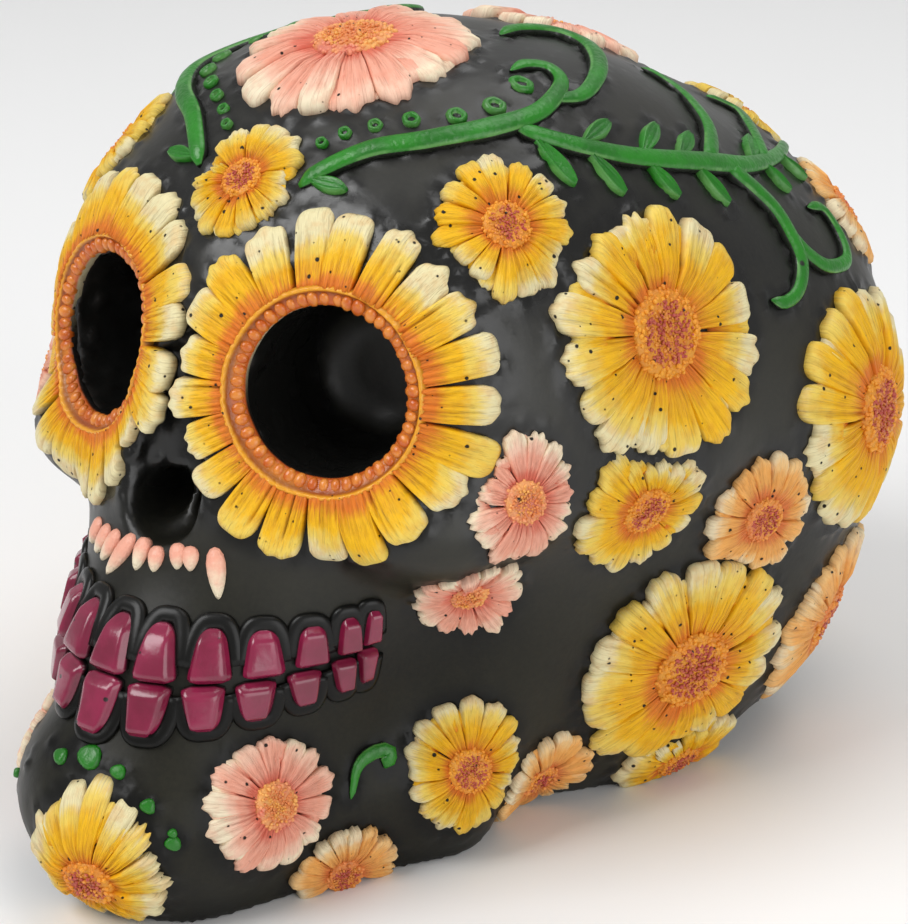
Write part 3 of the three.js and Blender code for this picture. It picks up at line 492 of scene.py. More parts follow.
def all_flowers():
    rows = list(MIDDLE_FLOWERS)
    for name, place, *rest in SIDE_FLOWERS:
        rows += [("left_" + name, place, *rest), ("right_" + name, mirror_x(place), *rest)]
    for name, place, width, tall, kind in rows:
        yield dict(name=name, width=width, tall=tall, kind=kind, axes=skin_axes(place))


def raised_spots():
    """Spots along the vines, leaves, curls and dots of both sides, and half their widths."""
    paths = [(stem_path(points)[0], max(widths)) for points, widths in [*VINE_STEMS, JAW_CURL]]
    paths += [(stem_path(ends)[0], LEAF_WIDTH) for ends in LEAVES]
    paths += [(settle([place]), width) for place, width in RING_DOTS + CHIN_DOTS]
    spots = np.concatenate([path for path, _ in paths])
    halves = np.concatenate([np.full(len(path), width / 2) for path, width in paths])
    return np.concatenate([spots, spots * (-1, 1, 1)]), np.concatenate([halves, halves])


def keep_off():
    """Spots of the raised lines and of the teeth, and how far petals stay from each."""
    spots, clear = [RAISED[0]], [RAISED[1] + PIECE_GAP]
    for row in TOOTH_ROWS:
        for angle, _, back in tooth_places(row):
            bite, gum = tooth_ends(row, back)
            spots.append(on_arch(np.array([angle]), np.array([(bite + gum) / 2]))[0])
            clear.append(np.array([abs(gum - bite) / 2 + TOOTH_THICK]))
    return np.concatenate(spots), np.concatenate(clear)


FLOWERS = list(all_flowers())
RAISED = raised_spots()
KEEP_OFF = keep_off()


def near_pieces(spots):
    """How close each spot of the skin lies to the edge of a raised piece, from 0 to 1."""
    near = np.zeros(len(spots))
    rings = [(f["axes"], f["width"] / 2, f["tall"] / 2) for f in FLOWERS]
    rings += [(axes, BLOOM_WIDTH / 2, BLOOM_WIDTH / 2) for axes in EYES.values()]
    for axes, wide, tall in rings:
        u, v, w = in_axes(spots, axes)
        away = np.maximum(np.hypot(u / wide, v / tall) - NEAR["edge"], 0) * (wide + tall) / 2
        level = np.abs(w) < NEAR["ring_depth"] * wide + NEAR["deepest"]
        near = np.maximum(near, np.exp(-(away / NEAR["ring_fade"]) ** 2) * level)
    for place, half in zip(*RAISED):
        away = np.linalg.norm(spots - place, axis=1) - half
        near = np.maximum(near, np.exp(-(np.maximum(away, 0) / NEAR["spot_fade"]) ** 2))
    return near


# Meshes

class Shape:
    """Vertices in millimetres, faces, and four painted values for each vertex."""

    def __init__(self):
        self.spots, self.paint, self.faces, self.slots = [], [], [], []
        self.count = 0

    def add(self, spots, faces, paint, slot=0):
        spots = np.asarray(spots, float).reshape(-1, 3)
        self.spots.append(spots)
        self.paint.append(np.broadcast_to(np.asarray(paint, float).reshape(-1, 4), (len(spots), 4)))
        self.faces += [tuple(int(i) + self.count for i in face) for face in faces]
        self.slots += [slot] * len(faces)
        self.count += len(spots)

    def add_mesh(self, mesh, paint=None, slot=0):
        """Adds a mesh, with its own painted values unless others are given."""
        spots = np.empty(len(mesh.vertices) * 3)
        mesh.vertices.foreach_get("co", spots)
        if paint is None:
            paint = np.empty(len(mesh.vertices) * 4)
            mesh.attributes["paint"].data.foreach_get("color", paint)
        self.add(spots / MM, [tuple(f.vertices) for f in mesh.polygons], paint, slot)

    def finish(self, name, materials, slot, *nodes):
        """Makes the piece, which rides on the root and stands for the CAD nodes."""
        mesh = bpy.data.meshes.new(name)
        spots = np.concatenate(self.spots)
        spots[:, 2] = np.maximum(spots[:, 2], BASE_Z)
        mesh.from_pydata((spots * MM).tolist(), [], self.faces)
        attribute = mesh.attributes.new("paint", "FLOAT_COLOR", "POINT")
        attribute.data.foreach_set("color", np.concatenate(self.paint).ravel())
        for material in materials:
            mesh.materials.append(material)
        mesh.polygons.foreach_set("material_index", self.slots)
        mesh.polygons.foreach_set("use_smooth", [True] * len(mesh.polygons))
        mesh.update()
        piece = bpy.data.objects.new(name, mesh)
        bpy.context.collection.objects.link(piece)
        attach(piece, "root")
        if nodes:
            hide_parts(*nodes)


def flipped(faces):
    return [tuple(reversed(face)) for face in faces]


def grid_faces(rows, columns, start=0, closed_columns=False, closed_rows=False):
    faces = []
    for i in range(rows if closed_rows else rows - 1):
        low, high = start + i * columns, start + (i + 1) % rows * columns
        for j in range(columns if closed_columns else columns - 1):
            k = (j + 1) % columns
            faces.append((low + j, high + j, high + k, low + k))
    return faces


def pillow_faces(rows, columns):
    """A grid, and one face over its border that faces the other way."""
    ring = [i * columns for i in range(rows)] + [(rows - 1) * columns + j for j in range(1, columns)]
    ring += [i * columns + columns - 1 for i in range(rows - 2, -1, -1)]
    return grid_faces(rows, columns) + flipped([ring + list(range(columns - 2, 0, -1))])


def tube_faces(rows, sides):
    """A grid closed round its rows, and its two ends."""
    ends = [tuple(range(sides)), tuple(reversed(range((rows - 1) * sides, rows * sides)))]
    return grid_faces(rows, sides, closed_columns=True) + ends


def surface_net(form, low, high, cell):
    """A quad mesh of the form's surface, with one vertex in each grid cell that the surface crosses."""
    counts = [int(math.ceil((h - l) / cell)) + 1 for l, h in zip(low, high)]
    ticks = [l + cell * np.arange(n) for l, n in zip(low, counts)]
    values = np.empty(counts)
    y, z = np.meshgrid(ticks[1], ticks[2], indexing="ij")
    for i, x in enumerate(ticks[0]):
        values[i] = form(np.stack([np.full_like(y, x), y, z], axis=-1))
    inside = values < 0
    total = sum(inside[i:counts[0] - 1 + i, j:counts[1] - 1 + j, k:counts[2] - 1 + k].astype(int)
                for i in (0, 1) for j in (0, 1) for k in (0, 1))
    mixed = (total > 0) & (total < 8)
    numbers = np.full(mixed.shape, -1)
    numbers[mixed] = np.arange(mixed.sum())
    centres = np.asarray(low) + (np.argwhere(mixed) + 0.5) * cell
    spots = centres + np.clip(settle(centres, 0, form, 5) - centres, -0.6 * cell, 0.6 * cell)
    faces = []
    for axis in range(3):
        first = np.take(inside, np.arange(counts[axis] - 1), axis)
        second = np.take(inside, np.arange(1, counts[axis]), axis)
        edges = np.argwhere(first != second)
        others = [(axis + 1) % 3, (axis + 2) % 3]
        for other in others:
            edges = edges[(edges[:, other] > 0) & (edges[:, other] < counts[other] - 1)]
        ring = []
        for back in ((1, 1), (0, 1), (0, 0), (1, 0)):
            cells = edges.copy()
            cells[:, others] -= back
            ring.append(numbers[tuple(cells.T)])
        quads = np.stack(ring, axis=-1)
        turn = ~first[tuple(edges.T)]
        quads[turn] = quads[turn][:, ::-1]
        faces.append(quads)
    return spots, np.concatenate(faces)


def lathe(axes, profile, sides, paint, wave=None):
    """A profile of [radius, height] revolved round a frame's facing and laid on the skin."""
    angles = np.arange(sides) * TURN / sides
    radius, height = (np.array(column)[:, None] * np.ones(sides) for column in zip(*profile))
    if wave is not None:
        height = height + wave(radius, angles[None, :])
    spots = drape(axes, radius, angles) + height[..., None] * axes["facing"]
    return spots, np.array(paint)[:, None, :] * np.ones((1, sides, 1))


# Petals

def petal_sheets(axes, rng, angles, inner, lengths, half_width, look, lift=0):
    """Closed petals round a frame: ridged on top, lobed at the tip and sunk into the skin below."""
    rows, columns = look["rows"], look["columns"]
    s = np.linspace(0, 1, rows)[None, :, None] ** 0.9
    even = np.linspace(-1, 1, columns)
    t = (0.45 * even + 0.55 * np.sin(even * math.pi / 2))[None, None, :]
    n = len(angles)
    whole = np.zeros((n, rows, columns))

    def chance(low, high):
        return rng.uniform(low, high, (n, 1, 1))

    def pick(label):
        return chance(*look[label])

    widest = half_width * pick("spread")
    lobes = rng.integers(1, 4, (n, 1, 1))
    notch = pick("notch") * (0.5 - 0.5 * np.cos(TURN * lobes * (t * 0.5 + 0.5)))
    blunt = pick("blunt")
    tip = lengths[:, None, None] - notch
    tip = tip - look["tip"] * pick("point") * widest * (1 - (1 - 0.98 * np.abs(t) ** blunt) ** (1 / blunt))
    radius = inner + (tip - inner) * s
    crowd = radius * math.sin(math.pi / look["count"]) * look["overlap"]
    wide = crowd * widest / (crowd ** 6 + widest ** 6) ** (1 / 6)
    side = wide * t + pick("bend") * widest * s ** 2
    groove = whole.copy()
    for k in range(look["grooves"]):
        place = (2 * (k + 1) / (look["grooves"] + 1) - 1) + pick("wander") + pick("drift") * s
        ends = np.clip((pick("groove_run") - s) * 5, 0, 1)
        groove += pick("cut") * ends * np.exp(-((t - place) / look["groove_width"]) ** 2)
    crown = np.interp(s, look["crown_at"], look["crown"])
    edge = np.clip((1 - np.abs(t)) / look["side_bevel"], 0, 1)
    end = np.clip((1 - s) / look["end_bevel"], 0, 1)
    bevel = np.sqrt(1 - (1 - edge) ** 2) * np.sqrt(1 - (1 - end) ** 2)
    loose = np.clip((s - look["joined"]) * 4, 0, 1)
    height = crown * pick("swell") + pick("arch") * (1 - t * t) * loose + lift + pick("step")
    height = height + look["lean"] * pick("twist") * t * np.clip(s * 2, 0, 1)
    height = height - look["groove_depth"] * groove - look["bevel"] * (1 - bevel) * (0.35 + 0.65 * loose)
    # Painted shade: dark slits along the sides of some petals near the root, where the gaps between petals
    # lie in shade. The grooves are painted darker too.
    gap = np.clip(1.15 - 1.7 * s, 0, 1) * np.clip((np.abs(t) - 0.93) / 0.05, 0, 1) * chance(0, look["gap"])
    dark_paint_and_shade = np.clip(0.6 * groove + gap, 0, 0.85)

    def border(field, fill=None):
        """Adds the foot of the petal's edge all round but at its root."""
        field = field + whole
        field = np.concatenate([field[:, :, :1], field, field[:, :, -1:]], axis=2)
        field = np.concatenate([field, field[:, -1:]], axis=1)
        if fill is not None:
            field[:, :, [0, -1]] = fill
            field[:, -1] = fill
        return field

    radius, side, along, share = (border(field) for field in (radius, side, s, t))
    height, dark_paint_and_shade = border(height, -look["sink"]), border(dark_paint_and_shade, 1)
    side[:, :, 0] -= look["flare"]
    side[:, :, -1] += look["flare"]
    radius[:, -1] += look["flare"]
    angle = angles[:, None, None]
    u = radius * np.cos(angle) - side * np.sin(angle)
    v = radius * np.sin(angle) + side * np.cos(angle)
    spots = drape_flat(axes, u, v) + height[..., None] * axes["facing"]
    dye = chance(0, 1) + 0 * along
    paint = np.stack([along * look["fade"], dark_paint_and_shade, dye, share * 0.5 + 0.5], axis=-1)
    return spots, petal_faces(n, rows + 1, columns + 2), paint


def petal_faces(count, rows, columns):
    """Faces of closed petals: the top and its edges, the underside, and the two ends."""
    faces = []
    for start in range(0, count * rows * columns, rows * columns):
        faces += grid_faces(rows, columns, start)
        last = start + (rows - 1) * columns
        for low in range(start, last, columns):
            faces.append((low, low + columns - 1, low + 2 * columns - 1, low + columns))
        faces.append(tuple(range(start, start + columns)))
        faces.append(tuple(range(last + columns - 1, last - 1, -1)))
    return faces


def allowed_length(axes, angles, inner, longest, allowed):
    """How far each petal can run before its middle line meets something."""
    steps = np.linspace(0, 1, PETAL_STEPS)
    room = np.broadcast_to(longest, angles.shape) - inner
    radius = inner + room[:, None] * steps[None, :]
    spots = drape(axes, radius, angles[:, None])
    slope = (spots - axes["at"]) @ axes["facing"] / (radius + 2)
    fits = allowed(spots) & (slope > PETAL_SLOPES[0]) & (slope < PETAL_SLOPES[1])
    reach = np.where(fits.all(axis=1), len(steps) - 1, np.argmin(fits, axis=1) - 1)
    return inner + room * steps[np.maximum(reach, 0)]


def petal_limits(this):
    """Where a flower's petals may lie: above the base and clear of eyes, vines, teeth and neighbours."""
    middle = this["axes"]["at"]
    spots, clear = KEEP_OFF
    close = np.linalg.norm(spots - middle, axis=1) < max(this["width"], this["tall"]) / 2 + clear + 1
    obstacles = list(zip(spots[close], clear[close]))

    def allowed(spots):
        fits = spots[..., 2] > PETAL_FOOT
        for axes in EYES.values():
            a, b, _ = in_axes(spots, axes)
            far = np.linalg.norm(spots - axes["at"], axis=-1) > BLOOM_WIDTH
            fits &= far | (np.hypot(a, b) > BLOOM_WIDTH / 2 + 0.2)
        for other in FLOWERS:
            if other is not this:
                between = other["axes"]["at"] - middle
                apart = np.linalg.norm(between)
                room = (apart + (this["width"] ** 2 - other["width"] ** 2) / (4 * apart)) / 2 + 0.3
                fits &= (spots - middle) @ (between / apart) < room
        for place, distance in obstacles:
            fits &= np.linalg.norm(spots - place, axis=-1) > distance
        return fits
    return allowed


# Node trees

STOCK = {}
# Sockets that share their label with others of another type
RANDOM_MIN, RANDOM_VALUE = 2, 1
MIX_FIRST, MIX_SECOND, MIX_RESULT = 6, 7, 2


def shared(key, make, *given):
    """A material, node group or node tree that is made once, when first asked for."""
    if key not in STOCK:
        STOCK[key] = make(*given)
    return STOCK[key]


class Graph:
    """Adds nodes to a tree. An input is given as a value or as an output of another node."""

    def __init__(self, tree):
        self.tree = tree

    def feed(self, socket, value):
        if isinstance(value, bpy.types.NodeSocket):
            self.tree.links.new(value, socket)
        else:
            socket.default_value = value

    def add(self, kind, inputs=(), **settings):
        node = self.tree.nodes.new(kind)
        for name, value in settings.items():
            setattr(node, name, value)
        for key, value in dict(inputs).items():
            self.feed(node.inputs[key], value)
        return node

    def attribute(self, name, kind="FLOAT_VECTOR"):
        node = self.add("GeometryNodeInputNamedAttribute", {"Name": name}, data_type=kind)
        return node.outputs["Attribute"]

    def math(self, operation, first, second, clamp=False):
        inputs = {0: first, 1: second}
        return self.add("ShaderNodeMath", inputs, operation=operation, use_clamp=clamp).outputs[0]

    def times(self, first, second, clamp=False):
        return self.math("MULTIPLY", first, second, clamp)

    def plus(self, first, second, clamp=False):
        return self.math("ADD", first, second, clamp)

    def minus(self, first, second, clamp=False):
        return self.math("SUBTRACT", first, second, clamp)

    def span(self, value, low, high, to_low=0.0, to_high=1.0):
        inputs = {"Value": value, "From Min": low, "From Max": high, "To Min": to_low, "To Max": to_high}
        return self.add("ShaderNodeMapRange", inputs, interpolation_type="SMOOTHSTEP").outputs["Result"]

    def cloud(self, vector, scale, detail=3.0, roughness=0.55):
        inputs = {"Vector": vector, "Scale": scale, "Detail": detail, "Roughness": roughness}
        return self.add("ShaderNodeTexNoise", inputs).outputs["Fac"]


def new_group(name, kind, inputs, outputs):
    """A node group: its graph, the identifiers of its inputs, and its sockets inside the group."""
    graph, ids = Graph(bpy.data.node_groups.new(name, kind)), {}
    for label, socket in inputs.items():
        made = graph.tree.interface.new_socket(label, in_out="INPUT", socket_type="NodeSocket" + socket)
        ids[label] = made.identifier
    for label, socket in outputs.items():
        graph.tree.interface.new_socket(label, in_out="OUTPUT", socket_type="NodeSocket" + socket)
    return graph, ids, graph.add("NodeGroupInput").outputs, graph.add("NodeGroupOutput").inputs


def new_grower(name, inputs):
    inputs = dict(Geometry="Geometry", **inputs, Material="Material")
    return new_group(name, "GeometryNodeTree", inputs, dict(Geometry="Geometry"))


def finish_grower(graph, geometry, given, result):
    """Ends a tree with smooth shading, real copies and the paint."""
    smooth = graph.add("GeometryNodeSetShadeSmooth", {"Geometry": geometry})
    real = graph.add("GeometryNodeRealizeInstances", {"Geometry": smooth.outputs[0]})
    painted = graph.add("GeometryNodeSetMaterial",
                        {"Geometry": real.outputs[0], "Material": given["Material"]})
    graph.feed(result["Geometry"], painted.outputs[0])


def scatter_tree():
    """Copies of a small shape on points, turned to their facing and along directions."""
    graph, ids, given, result = new_grower(
        "scatter_on_skin", {"Shape": "Object", "Scale": "Float", "Size Jitter": "Float", "Seed": "Int"})
    shape = graph.add("GeometryNodeObjectInfo", {"Object": given["Shape"]})
    align = "FunctionNodeAlignRotationToVector"
    stand = graph.add(align, {"Vector": graph.attribute("facing")}, axis="Z")
    point = graph.add(align, {"Rotation": stand.outputs[0], "Vector": graph.attribute("along")},
                      axis="X", pivot_axis="Z")
    least = graph.minus(1, given["Size Jitter"])
    chance = graph.add("FunctionNodeRandomValue", {RANDOM_MIN: least, "Seed": given["Seed"]},
                       data_type="FLOAT")
    scale = graph.times(given["Scale"], chance.outputs[RANDOM_VALUE])
    size = graph.add("ShaderNodeVectorMath", {0: graph.attribute("size"), "Scale": scale}, operation="SCALE")
    copies = graph.add("GeometryNodeInstanceOnPoints", {
        "Points": given["Geometry"], "Instance": shape.outputs["Geometry"], "Rotation": point.outputs[0],
        "Scale": size.outputs[0]})
    finish_grower(graph, copies.outputs[0], given, result)
    return graph.tree, ids


def stem_tree():
    """A section swept along the edges of a mesh, upright on the skin, as wide as each point says."""
    graph, ids, given, result = new_grower("stem_on_skin", {"Section": "Object", "Width Scale": "Float"})
    section = graph.add("GeometryNodeObjectInfo", {"Object": given["Section"]})
    outline = graph.add("GeometryNodeMeshToCurve", {"Mesh": section.outputs["Geometry"]})
    path = graph.add("GeometryNodeMeshToCurve", {"Mesh": given["Geometry"]})
    stand = graph.add("GeometryNodeSetCurveNormal", mode="FREE")
    graph.feed(stand.inputs["Curve"], path.outputs[0])
    graph.feed(stand.inputs["Normal"], graph.attribute("facing"))
    width = graph.times(graph.attribute("width", "FLOAT"), given["Width Scale"])
    swept = graph.add("GeometryNodeCurveToMesh", {
        "Curve": stand.outputs[0], "Profile Curve": outline.outputs[0], "Scale": width, "Fill Caps": True})
    finish_grower(graph, swept.outputs[0], given, result)
    return graph.tree, ids


def host_mesh(name, spots, edges=(), **attributes):
    mesh = bpy.data.meshes.new(name)
    mesh.from_pydata((np.asarray(spots) * MM).tolist(), list(edges), [])
    for label, values in attributes.items():
        values = np.asarray(values, float)
        vectors = values.ndim == 2
        attribute = mesh.attributes.new(label, "FLOAT_VECTOR" if vectors else "FLOAT", "POINT")
        attribute.data.foreach_set("vector" if vectors else "value", values.ravel())
    return mesh


def grown(mesh, grower, values):
    """Runs a node tree on a host mesh and returns the result as a plain mesh."""
    tree, ids = grower
    host = bpy.data.objects.new(mesh.name, mesh)
    bpy.context.collection.objects.link(host)
    modifier = host.modifiers.new("grow", "NODES")
    modifier.node_group = tree
    for label, value in values.items():
        modifier[ids[label]] = value
    depsgraph = bpy.context.evaluated_depsgraph_get()
    result = bpy.data.meshes.new_from_object(host.evaluated_get(depsgraph))
    host.modifiers.clear()
    bpy.data.objects.remove(host)
    if not result.polygons:
        raise RuntimeError(mesh.name + ": the node tree made no faces")
    return result


def scatter(shape, pattern, material, places, facing, along, size, jitter=0.0, seed=0, paint=None, slot=0):
    """Adds copies of a pattern at places near the skin."""
    mesh = host_mesh(pattern.name + "_places", places, facing=facing, along=along, size=size)
    values = {"Shape": pattern, "Scale": MM, "Size Jitter": jitter, "Seed": seed, "Material": material}
    shape.add_mesh(grown(mesh, shared("scatter", scatter_tree), values), paint, slot)


def sweep(shape, section, material, spots, facing, width, paint=None):
    """Adds a band along a path, upright on the skin."""
    edges = [(i, i + 1) for i in range(len(spots) - 1)]
    mesh = host_mesh(section.name + "_path", spots, edges, facing=facing, width=width)
    values = {"Section": section, "Width Scale": MM, "Material": material}
    shape.add_mesh(grown(mesh, shared("stem", stem_tree), values), paint)


def pattern_object(name, spots, faces, paint, edges=()):
    """A small shape of unit size that the node trees copy or sweep."""
    mesh = bpy.data.meshes.new(name)
    mesh.from_pydata(spots, list(edges), faces)
    attribute = mesh.attributes.new("paint", "FLOAT_COLOR", "POINT")
    attribute.data.foreach_set("color", np.asarray(paint, float).ravel())
    return bpy.data.objects.new(name, mesh)


def dome_pattern(name, profile, sides, lobes=0, unevenness=0, tints=None, taper=0):
    """A revolved bead: profile points are [radius, height] of a bead one unit across."""
    angle = np.arange(sides) * TURN / sides
    spots = []
    for radius, height in profile:
        reach = radius * (1 + unevenness * np.sin(lobes * angle + 3 * height))
        x, y = reach * np.cos(angle), reach * np.sin(angle)
        spots += list(zip(x, y * (1 - taper * x), height + 0 * angle))
    tints = np.repeat(tints or [0] * len(profile), sides)
    paint = [(spot[0] + 0.5, tint, 0.5, 1) for spot, tint in zip(spots, tints)]
    return pattern_object(name, spots, flipped(tube_faces(len(profile), sides)), paint)


def leaf_pattern():
    """A dished leaf one unit long with a raised rim and a middle rib."""
    rows, columns = 15, 11
    spots, paint = [], []
    for i in range(rows):
        s = i / (rows - 1)
        wide = 0.5 * (math.sin(math.pi * min(1, 0.06 + s * 0.94)) ** 0.75) * (0.45 + 0.75 * s)
        wide = max(wide, 0.06 if i == 0 else 0.03)
        for j in range(columns):
            t = 2 * j / (columns - 1) - 1
            rim = math.exp(-((abs(t) - 0.72) / 0.2) ** 2)
            body = 0.62 * (1 - abs(t) ** 6)
            rib = 0.3 * math.exp(-(t / 0.14) ** 2) * (1 - s)
            height = body + 0.38 * rim * math.sin(math.pi * min(1, 0.1 + 0.85 * s)) + rib
            if abs(t) == 1 or i in (0, rows - 1):
                height = -0.5
            spots.append((s, wide * t, height))
            paint.append((s, 1 if abs(t) == 1 else 0.7 * rim, 0.5, t * 0.5 + 0.5))
    return pattern_object("leaf_pattern", spots, pillow_faces(rows, columns), paint)


def stem_section():
    """Section of a stem one unit wide: a rounded band with flat sides, sunk into the skin below."""
    half = [(0.5, -0.2), (0.5, 0.22), (0.42, 0.36), (0.24, 0.45), (0, 0.48)]
    ring = half + [(-x, y) for x, y in half[-2::-1]]
    paint = [(0, 1 if y < 0.3 else 0.6 if y < 0.4 else 0, 0.5, 0.5) for _, y in ring]
    edges = [(i, (i + 1) % len(ring)) for i in range(len(ring))]
    return pattern_object("stem_section", [(y, -x, 0) for x, y in ring], [], paint, edges)


# Materials

HOLE_DARK = (0.02, 0.012, 0.008)
FINE_BUMP, BROAD_BUMP = 0.0003, 0.0004


def pinhole_group():
    """Casting pinholes: small round dark dots in some of the cells of a cell pattern."""
    graph, _, given, result = new_group(
        "casting_pinholes", "ShaderNodeTree",
        dict(Vector="Vector", Scale="Float", Share="Float", Radius="Float"), dict(Mask="Float"))
    cells = graph.add("ShaderNodeTexVoronoi", {"Vector": given["Vector"], "Scale": given["Scale"]})
    pick = graph.add("ShaderNodeSeparateColor", {0: cells.outputs["Color"]})
    chosen = graph.math("LESS_THAN", pick.outputs[0], given["Share"])
    near = graph.minus(graph.times(pick.outputs[1], given["Radius"]), cells.outputs["Distance"])
    graph.feed(result["Mask"], graph.times(graph.times(near, 14.0, clamp=True), chosen))
    return graph.tree


def brush_group():
    """Uneven hand painting: broad patches and fine speckle, both from 0 to 1."""
    graph, _, given, result = new_group(
        "hand_painting", "ShaderNodeTree",
        {"Vector": "Vector", "Patch Scale": "Float", "Speckle Scale": "Float"},
        dict(Patches="Float", Speckle="Float"))
    for label, scale, detail in (("Patches", "Patch Scale", 4.0), ("Speckle", "Speckle Scale", 2.0)):
        texture = graph.cloud(given["Vector"], given[scale], detail, 0.5)
        graph.feed(result[label], graph.span(texture, 0.3, 0.7))
    return graph.tree


class Paint(Graph):
    """A material with a principled shader, and the effects that the paints share."""

    def __init__(self, name):
        self.material = bpy.data.materials.new(name)
        self.material.use_nodes = True
        super().__init__(self.material.node_tree)
        self.tree.nodes.clear()
        self.shader = self.add("ShaderNodeBsdfPrincipled")
        self.add("ShaderNodeOutputMaterial", {"Surface": self.shader.outputs[0]})
        self.coords = self.add("ShaderNodeTexCoord").outputs["Object"]

    def values(self):
        """The four painted values of the mesh."""
        attribute = self.add("ShaderNodeAttribute", attribute_name="paint")
        split = self.add("ShaderNodeSeparateColor", {0: attribute.outputs["Color"]})
        return split.outputs[0], split.outputs[1], split.outputs[2], attribute.outputs["Alpha"]

    def brushed(self, patch, speckle):
        inputs = {"Vector": self.coords, "Patch Scale": patch, "Speckle Scale": speckle}
        node = self.add("ShaderNodeGroup", inputs, node_tree=shared("brush", brush_group))
        return node.outputs["Patches"], node.outputs["Speckle"]

    def pinholes(self, scale, share, radius):
        inputs = {"Vector": self.coords, "Scale": scale, "Share": share, "Radius": radius}
        node = self.add("ShaderNodeGroup", inputs, node_tree=shared("pinholes", pinhole_group))
        return node.outputs["Mask"]

    def mix(self, share, first, second):
        first, second = (value if isinstance(value, bpy.types.NodeSocket) else (*value, 1)
                         for value in (first, second))
        inputs = {"Factor": share, MIX_FIRST: first, MIX_SECOND: second}
        return self.add("ShaderNodeMix", inputs, data_type="RGBA").outputs[MIX_RESULT]

    def ramp(self, value, stops):
        node = self.add("ShaderNodeValToRGB", {"Fac": value})
        ramp = node.color_ramp
        ramp.interpolation = "EASE"
        while len(ramp.elements) < len(stops):
            ramp.elements.new(0.5)
        for element, (place, colour) in zip(ramp.elements, stops):
            element.position = place
            element.color = (*colour, 1)
        return node.outputs["Color"]

    def finish(self, colour, roughness, bump=None, **more):
        """Feeds the shader. A bump is given as its height, strength and distance."""
        inputs = {"Base Color": colour, "Roughness": roughness}
        inputs.update((label.replace("_", " "), value) for label, value in more.items())
        if bump:
            node = self.add("ShaderNodeBump", zip(("Height", "Strength", "Distance"), bump))
            inputs["Normal"] = node.outputs["Normal"]
        for label, value in inputs.items():
            self.feed(self.shader.inputs[label], value)
        return self.material


def black_resin(look):
    paint = Paint("black_resin")
    _, dark_paint_and_shade, _, _ = paint.values()
    patches, speckle = paint.brushed(38.0, 1500.0)
    rub = paint.plus(paint.times(patches, 0.7), paint.times(speckle, 0.2))
    # Painted shade round the raised pieces: the rub fades out where the skin lies close to them, so the black
    # is deeper there.
    rub = paint.times(rub, paint.minus(1.0, dark_paint_and_shade, clamp=True))
    colour = paint.mix(rub, look.black, look.rub)
    colour = paint.mix(paint.pinholes(260.0, 0.05, 0.16), colour, (0.003, 0.003, 0.003))
    rough = paint.minus(paint.span(patches, 0, 1, 0.34, 0.46), paint.times(dark_paint_and_shade, 0.1))
    level = paint.add("ShaderNodeSeparateXYZ", {0: paint.coords}).outputs["Z"]
    sheen = paint.span(level, 0.028, 0.07, 0.18, 0.5)
    grain, swell = paint.cloud(paint.coords, 900.0, 2.0), paint.cloud(paint.coords, 90.0, 2.0)
    height = paint.plus(paint.times(grain, 0.25), swell)
    return paint.finish(colour, rough, (height, 0.25, BROAD_BUMP), Specular_IOR_Level=sheen)


def petal_paint(name, look):
    """Petals that fade from a deep root to a pale tip, streaked along, darker in the grooves, with painted
    shade in the gaps between petals.
    """
    paint = Paint(name)
    along, dark_paint_and_shade, dye, across = paint.values()
    patches, _ = paint.brushed(110.0, 1300.0)
    holes = paint.pinholes(700.0, 0.5, 0.26)

    def streaks(run, lines, detail):
        """Noise stretched along the petal, and other noise on each petal."""
        parts = [paint.times(*pair) for pair in ((along, run), (across, lines), (dye, 60.0))]
        place = paint.add("ShaderNodeCombineXYZ", enumerate(parts))
        return paint.cloud(place.outputs[0], 1.6, detail)

    broad, hairs = streaks(3.0, 9.0, 3.0), streaks(2.0, 17.0, 2.0)
    place = paint.times(along, paint.plus(paint.times(dye, 0.5), 0.64))
    for value, weight in ((broad, 0.26), (hairs, 0.08), (patches, 0.2)):
        place = paint.plus(place, paint.times(paint.minus(value, 0.5), weight))
    colour = paint.ramp(place, [(0.0, look.heart), (0.08, look.heart), (0.32, look.body), (0.5, look.body),
                                (0.74, look.light), (1.0, look.tip)])
    flush = paint.times(paint.span(along, 0.6, 0.05), paint.span(hairs, 0.4, 0.62, 0.1, 0.9))
    colour = paint.mix(flush, colour, look.heart)
    glaze = paint.span(paint.cloud(paint.coords, 420.0), 0.42, 0.7, 0.0, 0.3)
    colour = paint.mix(glaze, colour, look.glaze)
    # Darker lines in the grooves and along some streaks, and painted shade in the gaps between petals; near
    # black at the foot of each petal.
    lines = paint.times(dark_paint_and_shade, paint.span(broad, 0.3, 0.7, 0.55, 1.0))
    lines = paint.plus(lines, paint.span(hairs, 0.52, 0.68, 0.0, 0.6), clamp=True)
    colour = paint.mix(paint.times(lines, 0.85), colour, paint.mix(0.55, colour, look.groove))
    colour = paint.mix(paint.span(dark_paint_and_shade, 0.78, 0.95), colour, (0.012, 0.011, 0.009))
    colour = paint.mix(holes, colour, (0.014, 0.011, 0.008))
    rough = paint.span(broad, 0.3, 0.7, 0.42, 0.6)
    height = paint.minus(paint.plus(broad, paint.times(hairs, 0.6)), paint.times(holes, 2.0))
    return paint.finish(colour, rough, (height, 0.6, BROAD_BUMP), Specular_IOR_Level=0.28)


def ring_paint(name, look):
    """Orange ring between the stamens and the petals, which runs out into the petals' colour."""
    paint = Paint(name)
    along, dark_paint_and_shade, _, _ = paint.values()
    patches, speckle = paint.brushed(300.0, 1500.0)
    colour = paint.mix(patches, look.ring, look.heart)
    colour = paint.mix(paint.times(along, 0.7), colour, look.body)
    colour = paint.mix(paint.times(dark_paint_and_shade, 0.6), colour, look.groove)
    return paint.finish(colour, 0.45, (speckle, 0.4, FINE_BUMP))


